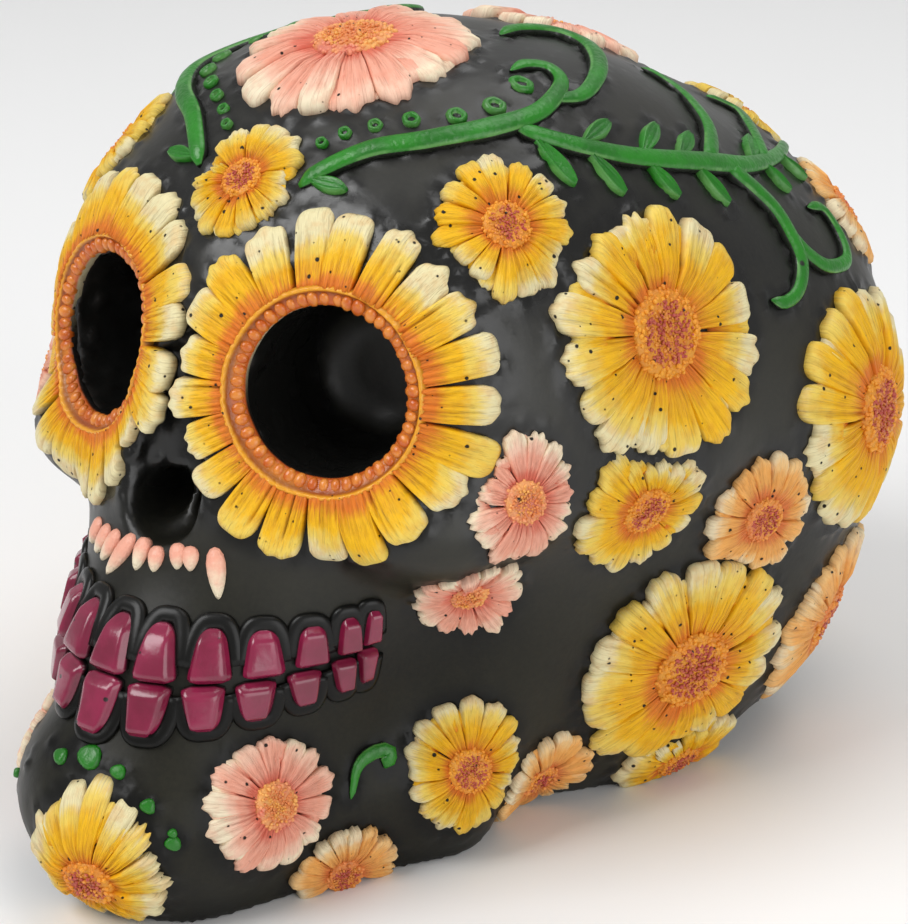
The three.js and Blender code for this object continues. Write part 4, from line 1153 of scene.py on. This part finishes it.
def stamen_paint(name, look):
    paint = Paint(name)
    patches, speckle = paint.brushed(650.0, 2600.0)
    colour = paint.mix(paint.span(patches, 0.45, 0.95, 0.0, 0.8), look.stamen, look.ring)
    colour = paint.mix(paint.times(speckle, 0.12), colour, look.light)
    colour = paint.mix(paint.pinholes(800.0, 0.35, 0.32), colour, HOLE_DARK)
    return paint.finish(colour, 0.42, (speckle, 0.4, FINE_BUMP))


def flower_paints(kind, look):
    return [petal_paint(kind + "_petals", look), ring_paint(kind + "_ring", look),
            stamen_paint(kind + "_stamens", look)]


def rim_paint(look):
    paint = Paint("rim_paint")
    along, dark_paint_and_shade, cream, _ = paint.values()
    patches, speckle = paint.brushed(120.0, 1200.0)
    inside = paint.mix(cream, look.socket, look.lip)
    band = paint.ramp(along, [(0.0, look.band), (0.66, look.band), (0.86, look.ridge), (1.0, look.ridge)])
    colour = paint.mix(paint.span(along, 0.08, 0.2), inside, band)
    shade = paint.times(paint.times(patches, 0.45), paint.span(along, 0.2, 0.4))
    colour = paint.mix(shade, colour, look.ridge)
    colour = paint.mix(paint.times(dark_paint_and_shade, 0.7), colour, (0.09, 0.03, 0.01))
    colour = paint.mix(paint.pinholes(800.0, 0.3, 0.26), colour, HOLE_DARK)
    return paint.finish(colour, 0.34, (speckle, 0.25, FINE_BUMP))


def bead_paint(look):
    paint = Paint("bead_paint")
    patches, _ = paint.brushed(500.0, 2000.0)
    return paint.finish(paint.mix(patches, look.band, look.bead), 0.22)


def vine_paint(look):
    paint = Paint("vine_paint")
    _, edge, _, _ = paint.values()
    patches, speckle = paint.brushed(150.0, 1100.0)
    colour = paint.mix(patches, look.green, look.shade)
    dry = paint.times(paint.span(edge, 0.35, 0.75), paint.span(patches, 0.35, 0.75, 0.05, 0.6))
    colour = paint.mix(dry, colour, look.edge)
    colour = paint.mix(paint.span(edge, 0.9, 1.0), colour, (0.012, 0.016, 0.01))
    colour = paint.mix(paint.pinholes(300.0, 0.06, 0.18), colour, (0.01, 0.012, 0.008))
    return paint.finish(colour, paint.span(speckle, 0, 1, 0.3, 0.44), (speckle, 0.2, FINE_BUMP))


def tooth_paint(look):
    paint = Paint("tooth_paint")
    _, dark_paint_and_shade, dye, _ = paint.values()
    patches, _ = paint.brushed(220.0, 1200.0)
    tone = paint.plus(paint.times(patches, 0.6), paint.times(dye, 0.3))
    colour = paint.mix(tone, look.red, look.light)
    colour = paint.mix(paint.span(dark_paint_and_shade, 0.25, 0.7), colour, (0.01, 0.009, 0.009))
    colour = paint.mix(paint.pinholes(560.0, 0.3, 0.24), colour, (0.02, 0.008, 0.01))
    return paint.finish(colour, 0.22, (patches, 0.18, BROAD_BUMP), Coat_Weight=0.4, Coat_Roughness=0.14)


def drop_paint(look):
    paint = Paint("drop_paint")
    along, _, _, _ = paint.values()
    patches, speckle = paint.brushed(320.0, 1500.0)
    pale = paint.span(paint.plus(paint.times(patches, 0.35), along), 0.45, 1.1)
    return paint.finish(paint.mix(pale, look.body, look.tip), 0.4, (speckle, 0.3, FINE_BUMP))


def floor_paint(look):
    paint = Paint("studio_floor")
    tone = paint.times(paint.cloud(paint.coords, 3.0), 0.1)
    return paint.finish(paint.mix(tone, look.floor, (0.8, 0.8, 0.79)), 0.7)


# Settings

def colour_property(name, value, description):
    return FloatVectorProperty(name=name, description=description, subtype="COLOR", size=3, min=0, max=1,
                               default=value)


class SkullLook(bpy.types.PropertyGroup):
    """Sizes and colours of the bare skull."""
    cell: FloatProperty(name="Cell", description="Width of a face of the skin, in millimetres", default=1.0,
                        min=0.5)
    black: colour_property("Black", (0.005, 0.005, 0.0044), "Paint of the skull")
    rub: colour_property("Rub", (0.02, 0.019, 0.012), "Where the black is rubbed thin")


class PetalLook(bpy.types.PropertyGroup):
    """Colours of one kind of flower."""
    heart: colour_property("Heart", (0.72, 0.18, 0.014), "Root of the petals")
    body: colour_property("Body", (0.83, 0.455, 0.005), "Middle of the petals")
    light: colour_property("Light", (0.79, 0.57, 0.1), "Outer part of the petals")
    tip: colour_property("Tip", (0.75, 0.67, 0.39), "Ends of the petals")
    # Mixed in where the petals are darker: in the grooves, and as painted shade in the gaps between petals.
    groove: colour_property("Groove", (0.13, 0.05, 0.012), "Wash in the grooves")
    glaze: colour_property("Glaze", (0.62, 0.24, 0.012), "Thin darker paint over the petals")
    ring: colour_property("Ring", (0.82, 0.32, 0.025), "Ring round the stamens")
    stamen: colour_property("Stamen", (0.46, 0.055, 0.045), "Stamens")


class EyeLook(bpy.types.PropertyGroup):
    """Counts and colours of the eye blooms and rims."""
    beads: IntProperty(name="Beads", description="Beads round each rim", default=46, min=8)
    petals: IntProperty(name="Petals", description="Petals round each eye", default=21, min=8)
    socket: colour_property("Socket", (0.01, 0.009, 0.008), "Edge of the socket")
    lip: colour_property("Lip", (0.5, 0.44, 0.28), "Paint smeared over the inner lip")
    band: colour_property("Band", (0.52, 0.1, 0.012), "Beaded band")
    ridge: colour_property("Ridge", (0.78, 0.34, 0.014), "Outer ridge")
    bead: colour_property("Bead", (0.72, 0.25, 0.04), "Pearly tops of the beads")


class VineLook(bpy.types.PropertyGroup):
    """Colours of the vines and dots."""
    green: colour_property("Green", (0.013, 0.195, 0.006), "Paint of the vines")
    shade: colour_property("Shade", (0.008, 0.125, 0.005), "Thicker paint")
    edge: colour_property("Edge", (0.14, 0.37, 0.09), "Dry-brushed edges")


class TeethLook(bpy.types.PropertyGroup):
    """Colours of the teeth."""
    red: colour_property("Red", (0.15, 0.005, 0.028), "Paint of the teeth")
    light: colour_property("Light", (0.27, 0.014, 0.06), "Thinner paint")


class StageLook(bpy.types.PropertyGroup):
    """Floor and light."""
    floor: colour_property("Floor", (0.86, 0.86, 0.86), "Paper floor")
    key_power: FloatProperty(name="Key", description="Power of the main light", default=9, min=0,
                             unit="POWER")
    fill_power: FloatProperty(name="Fill", description="Power of the fill and top lights", default=4.6, min=0,
                              unit="POWER")


class SugarSkullLook(bpy.types.PropertyGroup):
    """All settings of the sugar skull."""
    skull: PointerProperty(type=SkullLook)
    yellow: PointerProperty(type=PetalLook)
    apricot: PointerProperty(type=PetalLook)
    pink: PointerProperty(type=PetalLook)
    eyes: PointerProperty(type=EyeLook)
    vines: PointerProperty(type=VineLook)
    teeth: PointerProperty(type=TeethLook)
    stage: PointerProperty(type=StageLook)


OTHER_PETALS = dict(
    apricot=dict(heart=(0.72, 0.19, 0.05), body=(0.84, 0.4, 0.1), light=(0.84, 0.53, 0.22),
                 tip=(0.8, 0.68, 0.45), groove=(0.2, 0.06, 0.014), glaze=(0.68, 0.26, 0.05)),
    pink=dict(heart=(0.72, 0.17, 0.11), body=(0.82, 0.38, 0.27), light=(0.85, 0.54, 0.4),
              tip=(0.83, 0.72, 0.52), groove=(0.3, 0.07, 0.035), glaze=(0.72, 0.25, 0.15),
              ring=(0.86, 0.42, 0.06), stamen=(0.74, 0.22, 0.05)))


# Pieces

class SUGARSKULL_OT_skull(bpy.types.Operator):
    """Make the bare skull with its sockets, nose, gums and flat base"""
    bl_idname = "sugar_skull.skull"
    bl_label = "Skull"

    def execute(self, context):
        look = context.scene.sugar_skull.skull
        low, high = np.array(CAD_BOX) / MM + [[-NET_MARGIN], [NET_MARGIN]]
        spots, faces = surface_net(carved_form, low, high, look.cell)
        near = near_pieces(spots)
        lumps = np.array([noise.noise(Vector(p) * CAST_LUMPS["fineness"]) for p in spots])
        rise = CAST_LUMPS["height"] * near * np.maximum(lumps, 0) * (spots[:, 2] > CAST_LUMPS["foot"])
        spots = spots + outward(spots, carved_form) * rise[:, None]
        shape = Shape()
        # The second painted value is the closeness to the raised pieces, which the black paint turns into
        # painted shade round them.
        shape.add(spots, faces, np.stack([0 * near, near, lumps * 0.5 + 0.5, 1 + 0 * near], axis=-1))
        material = black_resin(look)
        self.add_gums(shape, material)
        shape.finish("skull_cast", [material], "black_resin", "skull")
        return {"FINISHED"}

    def add_gums(self, shape, material):
        """A raised black line round each tooth, open at the bite."""
        section = stem_section()
        phase = np.linspace(0.02, 0.98, GUM_LINE["steps"]) * math.pi
        across = -np.sign(np.cos(phase)) * np.abs(np.cos(phase)) ** 0.55
        rise = 0.04 + 1.02 * np.sin(phase) ** 0.6
        width = np.full(len(phase), GUM_LINE["width"])
        for row in TOOTH_ROWS:
            for angle, turn, back in tooth_places(row):
                bite, gum = tooth_ends(row, back)
                half = GUM_LINE["reach"] * turn * (1 - 0.5 * row["taper"] * rise)
                spots, out = on_arch(angle + half * across, bite + (gum - bite) * rise)
                sunk = spots - GUM_LINE["sink"] * out
                sweep(shape, section, material, sunk, outward(spots), width, paint=(0, 1, 0.5, 1))
        bpy.data.objects.remove(section)


class SUGARSKULL_OT_flowers(bpy.types.Operator):
    """Make the raised flowers"""
    bl_idname = "sugar_skull.flowers"
    bl_label = "Flowers"

    def execute(self, context):
        looks = context.scene.sugar_skull
        for kind, colours in OTHER_PETALS.items():
            for label, value in colours.items():
                setattr(getattr(looks, kind), label, value)
        bead = dome_pattern("floret_pattern", **FLORET)
        for number, flower in enumerate(FLOWERS):
            kind = flower["kind"]
            materials = shared(kind, flower_paints, kind, getattr(looks, kind))
            self.make(flower, number, materials, bead)
        bpy.data.objects.remove(bead)
        return {"FINISHED"}

    def make(self, flower, number, materials, bead):
        rng = np.random.default_rng(FLOWER_SEED + number)
        axes = flower["axes"]
        radius = (flower["width"] + flower["tall"]) / 4
        large = max(flower["width"], flower["tall"]) > LARGE_FROM
        petal = dict(LARGE_PETAL if large else SMALL_PETAL)
        petal["count"] += int(rng.integers(0, 3))
        count = petal["count"]
        half = radius * math.sin(math.pi / count) * petal["fill"]
        allowed = petal_limits(flower)
        shape = Shape()
        start = rng.random() * TURN
        for turn, root, share, lift in PETAL_LAYERS:
            inner = root * radius
            angles = start + (np.arange(count) + turn + rng.uniform(-0.1, 0.1, count)) * TURN / count
            oval = 1 / np.hypot(2 * np.cos(angles) / flower["width"], 2 * np.sin(angles) / flower["tall"])
            longest = allowed_length(axes, angles, inner, share * oval, allowed)
            lengths = longest * rng.uniform(0.94, 1.02, count)
            kept = longest > inner + 0.12 * radius
            made = dict(petal, columns=BACK_COLUMNS) if lift else petal
            if kept.any():
                shape.add(*petal_sheets(axes, rng, angles[kept], inner, lengths[kept], half, made, lift))
        self.add_centre(shape, axes, radius, large)
        for slot, low, high, *widths in FLORETS:
            reach, width = (low * radius, high * radius), widths[0 if large else 1]
            self.add_florets(shape, axes, radius, large, reach, width, rng, bead, materials[slot], number,
                             slot)
        shape.finish(flower["name"] + "_relief", materials, flower["kind"] + "_petals", flower["name"])

    def add_centre(self, shape, axes, radius, large):
        """The dome that carries the florets."""
        lift = 1.9 if large else 1.45
        profile = [(radius * share, lift + height) for share, height in CENTRE]
        spots, paint = lathe(axes, profile, CENTRE_SIDES, [(0.3, 0.3, 0.5, 1)] * len(profile))
        shape.add(spots, tube_faces(len(profile), CENTRE_SIDES), paint, slot=1)

    def add_florets(self, shape, axes, radius, large, reach, width, rng, bead, material, number, slot):
        """Small beads packed on part of the dome, between two distances from its middle."""
        low, high = reach
        count = int(FLORET_PACKING * (high ** 2 - low ** 2) / width ** 2)
        order = np.arange(count) + 0.5
        away = np.sqrt(low ** 2 + (high ** 2 - low ** 2) * order / count)
        angle = order * GOLDEN_TURN + rng.uniform(-0.12, 0.12, count)
        lift = np.interp(away / radius, *FLORET_RISE) - (0 if large else SMALL_FLORET_DROP)
        places = drape(axes, away, angle) + (lift + rng.normal(0, 0.1, count))[:, None] * axes["facing"]
        lean = rng.normal(0, 0.25, (count, 3)) + axes["facing"]
        spin = rng.random(count) * TURN
        along = np.cos(spin)[:, None] * axes["across"] + np.sin(spin)[:, None] * axes["up"]
        size = np.array(FLORET_STRETCH) * np.full((count, 1), width)
        scatter(shape, bead, material, places, lean, along, size, jitter=0.45, seed=number,
                paint=(0.3, 0, 0.5, 1), slot=slot)


class SUGARSKULL_OT_eye_blooms(bpy.types.Operator):
    """Make the ring of petals round each eye"""
    bl_idname = "sugar_skull.eye_blooms"
    bl_label = "Eye Blooms"

    def execute(self, context):
        looks = context.scene.sugar_skull
        count = looks.eyes.petals
        petal = dict(BLOOM_PETAL, count=count)
        inner, outer = RIM_WIDTH / 2 - 0.6, BLOOM_WIDTH / 2
        half = outer * math.sin(math.pi / count) * petal["fill"]
        material = shared("yellow", flower_paints, "yellow", looks.yellow)[0]
        for name, side, seed in (("left", 1, 7), ("right", -1, 8)):
            axes, rng = EYES[name], np.random.default_rng(seed)

            def allowed(spots):
                off_nose = (spots - NOSE_CLEAR["at"]) * NOSE_CLEAR["stretch"]
                clear = np.linalg.norm(off_nose, axis=-1) > NOSE_CLEAR["reach"]
                return (spots[..., 0] * side > NOSE_CLEAR["middle"]) & clear
            angles = (np.arange(count) + rng.uniform(-0.1, 0.1, count)) * TURN / count
            longest = allowed_length(axes, angles, inner, outer, allowed)
            lengths = np.where(longest > outer - 0.5, longest * rng.uniform(0.96, 1.03, count), longest)
            kept = longest > inner + 1.5
            shape = Shape()
            shape.add(*petal_sheets(axes, rng, angles[kept], inner, lengths[kept], half, petal))
            shape.finish(name + "_eye_petals", [material], "yellow_petals", name + "_eye_bloom")
        return {"FINISHED"}


class SUGARSKULL_OT_eye_rims(bpy.types.Operator):
    """Make the beaded rim of each eye"""
    bl_idname = "sugar_skull.eye_rims"
    bl_label = "Eye Rims"

    def execute(self, context):
        look = context.scene.sugar_skull.eyes
        bead = dome_pattern("bead_pattern", **BEAD)
        materials = [rim_paint(look), bead_paint(look)]
        for name, seed in (("left", 17), ("right", 18)):
            rng = np.random.default_rng(seed)
            shape = Shape()
            self.add_rim(shape, EYES[name], rng.random(4) * TURN)
            self.add_beads(shape, EYES[name], rng, look.beads, bead, materials[1], seed)
            shape.finish(name + "_eye_ring", materials, "orange_rim", name + "_eye_rim")
        bpy.data.objects.remove(bead)
        return {"FINISHED"}

    def add_rim(self, shape, axes, wobble):
        """The rim, with pleats on its ridge and cream paint on part of its lip."""
        def wave(r, angle):
            pleats = RIM_PLEATS["height"] * np.sin(RIM_PLEATS["count"] * angle + wobble[2])
            pleats = pleats * np.clip((r - RIM_PLEATS["start"]) / RIM_PLEATS["run"], 0, 1)
            return 0.12 * np.sin(5 * angle + wobble[0]) + 0.07 * np.sin(13 * angle + wobble[1]) + pleats
        profile = [row[:2] for row in RIM_PROFILE]
        spots, paint = lathe(axes, profile, RIM_SIDES, [(*row[2:], 0, 1) for row in RIM_PROFILE], wave)
        turn = np.arange(RIM_SIDES) * TURN / RIM_SIDES - CREAM_MIDDLE
        paint[..., 2] = np.exp(-(np.angle(np.exp(1j * turn)) / CREAM_SPREAD) ** 4)
        shape.add(spots, grid_faces(len(profile), RIM_SIDES, closed_columns=True, closed_rows=True), paint)

    def add_beads(self, shape, axes, rng, count, bead, material, seed):
        angles = (np.arange(count) + rng.uniform(-0.12, 0.12, count)) * TURN / count
        reach = RIM_BEAD["at"] + rng.uniform(-0.08, 0.08, count)
        places = drape(axes, reach, angles) + RIM_BEAD["lift"] * axes["facing"]
        inward = -(np.cos(angles)[:, None] * axes["across"] + np.sin(angles)[:, None] * axes["up"])
        facing = axes["facing"] + RIM_BEAD["lean"] * inward
        along = np.cross(axes["facing"], inward)
        size = np.array(RIM_BEAD["size"]) * rng.uniform(0.85, 1.1, (count, 1))
        scatter(shape, bead, material, places, facing, along, size, jitter=0.15, seed=seed,
                paint=(0.5, 0, 0.5, 1), slot=1)


class SUGARSKULL_OT_vines(bpy.types.Operator):
    """Make the vines on the crown and the curls on the jaw"""
    bl_idname = "sugar_skull.vines"
    bl_label = "Vines"

    def execute(self, context):
        material = shared("vine", vine_paint, context.scene.sugar_skull.vines)
        section, leaf = stem_section(), leaf_pattern()
        for side, flip in (("left", (1, 1, 1)), ("right", (-1, 1, 1))):
            vine, curl = Shape(), Shape()
            for points, widths in VINE_STEMS:
                self.add_stem(vine, np.array(points) * flip, widths, section, material)
            self.add_leaves(vine, np.array(LEAVES) * flip, leaf, material)
            vine.finish(side + "_vine_relief", [material], "green_vine", side + "_vine")
            self.add_stem(curl, np.array(JAW_CURL[0]) * flip, JAW_CURL[1], section, material)
            curl.finish(side + "_jaw_hook", [material], "green_vine", side + "_jaw_curl")
        for pattern in (section, leaf):
            bpy.data.objects.remove(pattern)
        return {"FINISHED"}

    def add_stem(self, shape, points, widths, section, material):
        spots, facing = stem_path(points)
        t = np.linspace(0, 1, len(spots))
        width = np.interp(t, [0, 0.5, 1], widths)
        width *= np.sqrt(np.clip((1 - t) / 0.05, 0.02, 1)) * np.sqrt(np.clip(t / 0.04, 0.1, 1))
        sweep(shape, section, material, spots + STEM_LIFT * facing, facing, width)

    def add_leaves(self, shape, leaves, leaf, material):
        roots, tips = settle(leaves[:, 0]), settle(leaves[:, 1])
        facing = outward((roots + tips) / 2)
        along = tips - roots
        length = np.linalg.norm(along, axis=1)
        size = np.stack([length, LEAF_BREADTH * length ** 0.5, np.full(len(length), LEAF_THICK)], axis=-1)
        scatter(shape, leaf, material, roots + LEAF_LIFT * facing, facing, along, size)


class SUGARSKULL_OT_dots(bpy.types.Operator):
    """Make the green dots round the crown flower and on the chin, and the drops under the nose"""
    bl_idname = "sugar_skull.dots"
    bl_label = "Dots and Drops"

    def execute(self, context):
        looks = context.scene.sugar_skull
        green = shared("vine", vine_paint, looks.vines)
        ring_dots = RING_DOTS + [(mirror_x(place), width) for place, width in RING_DOTS]
        for name, rows, dome in (("ring_dots", ring_dots, RING_DOT), ("chin_dots", CHIN_DOTS, BLOB)):
            places, widths = (np.array(column, float) for column in zip(*rows))
            size = np.stack([widths, widths * 0.9, np.full(len(rows), DOT_THICK)], axis=-1)
            self.beads(name, places, lambda facing: np.cross(facing, (0.3, 0.2, 1)), size, dome, green,
                       "green_vine")
        places, lengths = (np.array(column, float) for column in zip(*NOSE_DROPS))
        slants = np.interp(places[:, 0], *DROP_SLANT)
        along = np.stack([slants, 0 * slants, 0 * slants - 1], axis=-1)
        size = np.stack([lengths, 2.3 + 0.06 * lengths, np.full(len(lengths), DROP_THICK)], axis=-1)
        pink = drop_paint(looks.pink)
        self.beads("nose_drops", places, lambda facing: along, size, DROP, pink, "pink_petals")
        return {"FINISHED"}

    def beads(self, name, places, along, size, dome, material, slot):
        """One piece of loose beads. Their long direction may follow from the skin's facing."""
        pattern, shape = dome_pattern(name + "_pattern", **dome), Shape()
        places = settle(places)
        facing = outward(places)
        scatter(shape, pattern, material, places, facing, along(facing), size)
        shape.finish(name, [material], slot)
        bpy.data.objects.remove(pattern)


class SUGARSKULL_OT_teeth(bpy.types.Operator):
    """Make the two rows of teeth"""
    bl_idname = "sugar_skull.teeth"
    bl_label = "Teeth"

    def execute(self, context):
        material = tooth_paint(context.scene.sugar_skull.teeth)
        for row in TOOTH_ROWS:
            shape = Shape()
            rng = np.random.default_rng(row["seed"])
            for angle, turn, back in tooth_places(row):
                self.add_tooth(shape, rng, row, angle, turn, back)
            shape.finish(row["name"] + "_tooth_row", [material], "raspberry_teeth", row["name"] + "_teeth")
        return {"FINISHED"}

    def add_tooth(self, shape, rng, row, angle, turn, back):
        """A flat-faced pillow with bevelled edges, narrower at the gum."""
        rows, columns = TOOTH_GRID
        v = np.sin(np.linspace(-0.5, 0.5, rows) * math.pi)[:, None] * np.ones(columns) * 0.5 + 0.5
        t = np.ones((rows, 1)) * np.sin(np.linspace(-1, 1, columns) * math.pi / 2)
        bite, gum = tooth_ends(row, back)
        taper = 1 - row["taper"] * v ** 1.5
        corner = np.clip(1 - np.clip((v - 0.72) / 0.28, 0, 1) ** 2.6, 0.04, 1) ** 0.5
        near_bite = np.clip(1 - np.clip((0.1 - v) / 0.1, 0, 1) ** 2, 0.3, 1) ** 0.5
        half = 0.5 * turn * TOOTH_FILL * taper * corner * near_bite * rng.uniform(0.95, 1.05)
        slant = rng.uniform(-0.06, 0.06) * turn
        spots, out = on_arch(angle + half * t + slant * v, bite + (gum - bite) * (1.03 * v - 0.04))
        inset = np.minimum((1 - np.abs(t)) / 0.34, np.minimum(v / 0.16, (1 - v) / 0.2))
        face = np.clip(inset, 0, 1)
        face = face * face * (3 - 2 * face)
        tilt = rng.uniform(-0.2, 0.2) * t + rng.uniform(-0.15, 0.25) * (v - 0.5)
        swell = TOOTH_THICK * (0.42 + 0.58 * face) * (1 - 0.15 * back) * rng.uniform(0.92, 1.06) + tilt * face
        edge = (np.abs(t) > 0.999) | (v < 0.001) | (v > 0.999)
        height = np.where(edge, -TOOTH_SINK, swell)
        dark_paint_and_shade = np.where(edge, 1.0, np.clip(0.5 - 5 * face, 0, 1))
        paint = np.stack([v, dark_paint_and_shade, np.full_like(v, rng.random()), 0 * v + 1], axis=-1)
        faces = pillow_faces(rows, columns)
        upper = row["gum"] > row["bite"]
        shape.add(spots + height[..., None] * out, flipped(faces) if upper else faces, paint)


class SUGARSKULL_OT_stage(bpy.types.Operator):
    """Make the floor, the lights and the camera"""
    bl_idname = "sugar_skull.stage"
    bl_label = "Stage"

    def execute(self, context):
        look = context.scene.sugar_skull.stage
        self.add_floor(look)
        self.add_camera(context)
        self.add_light("key_light", look.key_power, **KEY_LIGHT)
        self.add_light("fill_light", look.fill_power, **FILL_LIGHT)
        self.add_light("top_light", look.fill_power, **TOP_LIGHT)
        world = bpy.data.worlds.new("studio")
        world.use_nodes = True
        background = world.node_tree.nodes["Background"]
        background.inputs["Color"].default_value = (1, 1, 1, 1)
        background.inputs["Strength"].default_value = WORLD_STRENGTH
        context.scene.world = world
        context.scene.view_settings.view_transform = "Standard"
        return {"FINISHED"}

    def add_floor(self, look):
        """A sheet of paper that bends up behind the skull, square to the camera."""
        reach, bend, back = FLOOR["reach"], FLOOR["bend"], FLOOR["back"]
        rows = [(-reach, 0.0)]
        for angle in np.linspace(0, math.pi / 2, FLOOR["steps"] + 1):
            rows.append((back + bend * math.sin(angle), bend * (1 - math.cos(angle))))
        rows.append((back + bend, FLOOR["rise"] + bend))
        s, c = math.sin(CAMERA_TURN), math.cos(CAMERA_TURN)
        spots = [(x * c - along * s, x * s + along * c, up) for along, up in rows for x in (-reach, reach)]
        mesh = bpy.data.meshes.new("paper_floor")
        mesh.from_pydata(spots, [], [(2 * i, 2 * i + 1, 2 * i + 3, 2 * i + 2) for i in range(len(rows) - 1)])
        mesh.polygons.foreach_set("use_smooth", [True] * len(mesh.polygons))
        mesh.materials.append(floor_paint(look))
        floor = bpy.data.objects.new("paper_floor", mesh)
        bpy.context.collection.objects.link(floor)

    def add_camera(self, context):
        level = math.cos(CAMERA_RISE)
        back = Vector((math.sin(CAMERA_TURN) * level, -math.cos(CAMERA_TURN) * level, math.sin(CAMERA_RISE)))
        camera = bpy.data.objects.new("camera", bpy.data.cameras.new("camera"))
        camera.data.sensor_fit = "HORIZONTAL"
        camera.data.sensor_width = SENSOR_WIDTH
        camera.data.lens = SENSOR_WIDTH * CAMERA_FOCUS_PIXELS / IMAGE_WIDTH_PIXELS
        camera.data.clip_start = 0.01
        camera.location = (Vector(CAMERA_TARGET) + back * CAMERA_AWAY) * MM
        camera.rotation_euler = back.to_track_quat("Z", "Y").to_euler()
        context.collection.objects.link(camera)
        context.scene.camera = camera

    def add_light(self, name, power, place, size):
        lamp = bpy.data.lights.new(name, "AREA")
        lamp.shape = "SQUARE"
        lamp.size = size
        lamp.energy = power
        light = bpy.data.objects.new(name, lamp)
        light.location = place
        light.rotation_euler = (Vector(place) - LIGHT_TARGET).to_track_quat("Z", "Y").to_euler()
        bpy.context.collection.objects.link(light)


class SUGARSKULL_PT_panel(bpy.types.Panel):
    """Lists the pieces of the sugar skull and their settings"""
    bl_idname = "SUGARSKULL_PT_panel"
    bl_label = "Sugar Skull"
    bl_space_type = "VIEW_3D"
    bl_region_type = "UI"
    bl_category = "Sugar Skull"

    def draw(self, context):
        looks = context.scene.sugar_skull
        for operator, label in PIECES:
            self.layout.operator("sugar_skull." + operator)
            box = self.layout.box()
            look = getattr(looks, label)
            for name in look.__annotations__:
                box.prop(look, name)


PIECES = [("skull", "skull"), ("eye_blooms", "yellow"), ("eye_rims", "eyes"), ("flowers", "pink"),
          ("vines", "vines"), ("dots", "vines"), ("teeth", "teeth"), ("stage", "stage")]
CLASSES = [SkullLook, PetalLook, EyeLook, VineLook, TeethLook, StageLook, SugarSkullLook,
           SUGARSKULL_OT_skull, SUGARSKULL_OT_flowers, SUGARSKULL_OT_eye_blooms, SUGARSKULL_OT_eye_rims,
           SUGARSKULL_OT_vines, SUGARSKULL_OT_dots, SUGARSKULL_OT_teeth, SUGARSKULL_OT_stage,
           SUGARSKULL_PT_panel]


def register():
    for cls in CLASSES:
        bpy.utils.register_class(cls)
    bpy.types.Scene.sugar_skull = PointerProperty(type=SugarSkullLook)


def unregister():
    del bpy.types.Scene.sugar_skull
    for cls in reversed(CLASSES):
        bpy.utils.unregister_class(cls)


def main():
    register()
    for operator, _ in PIECES:
        getattr(bpy.ops.sugar_skull, operator)()


if __name__ == "__main__":
    main()
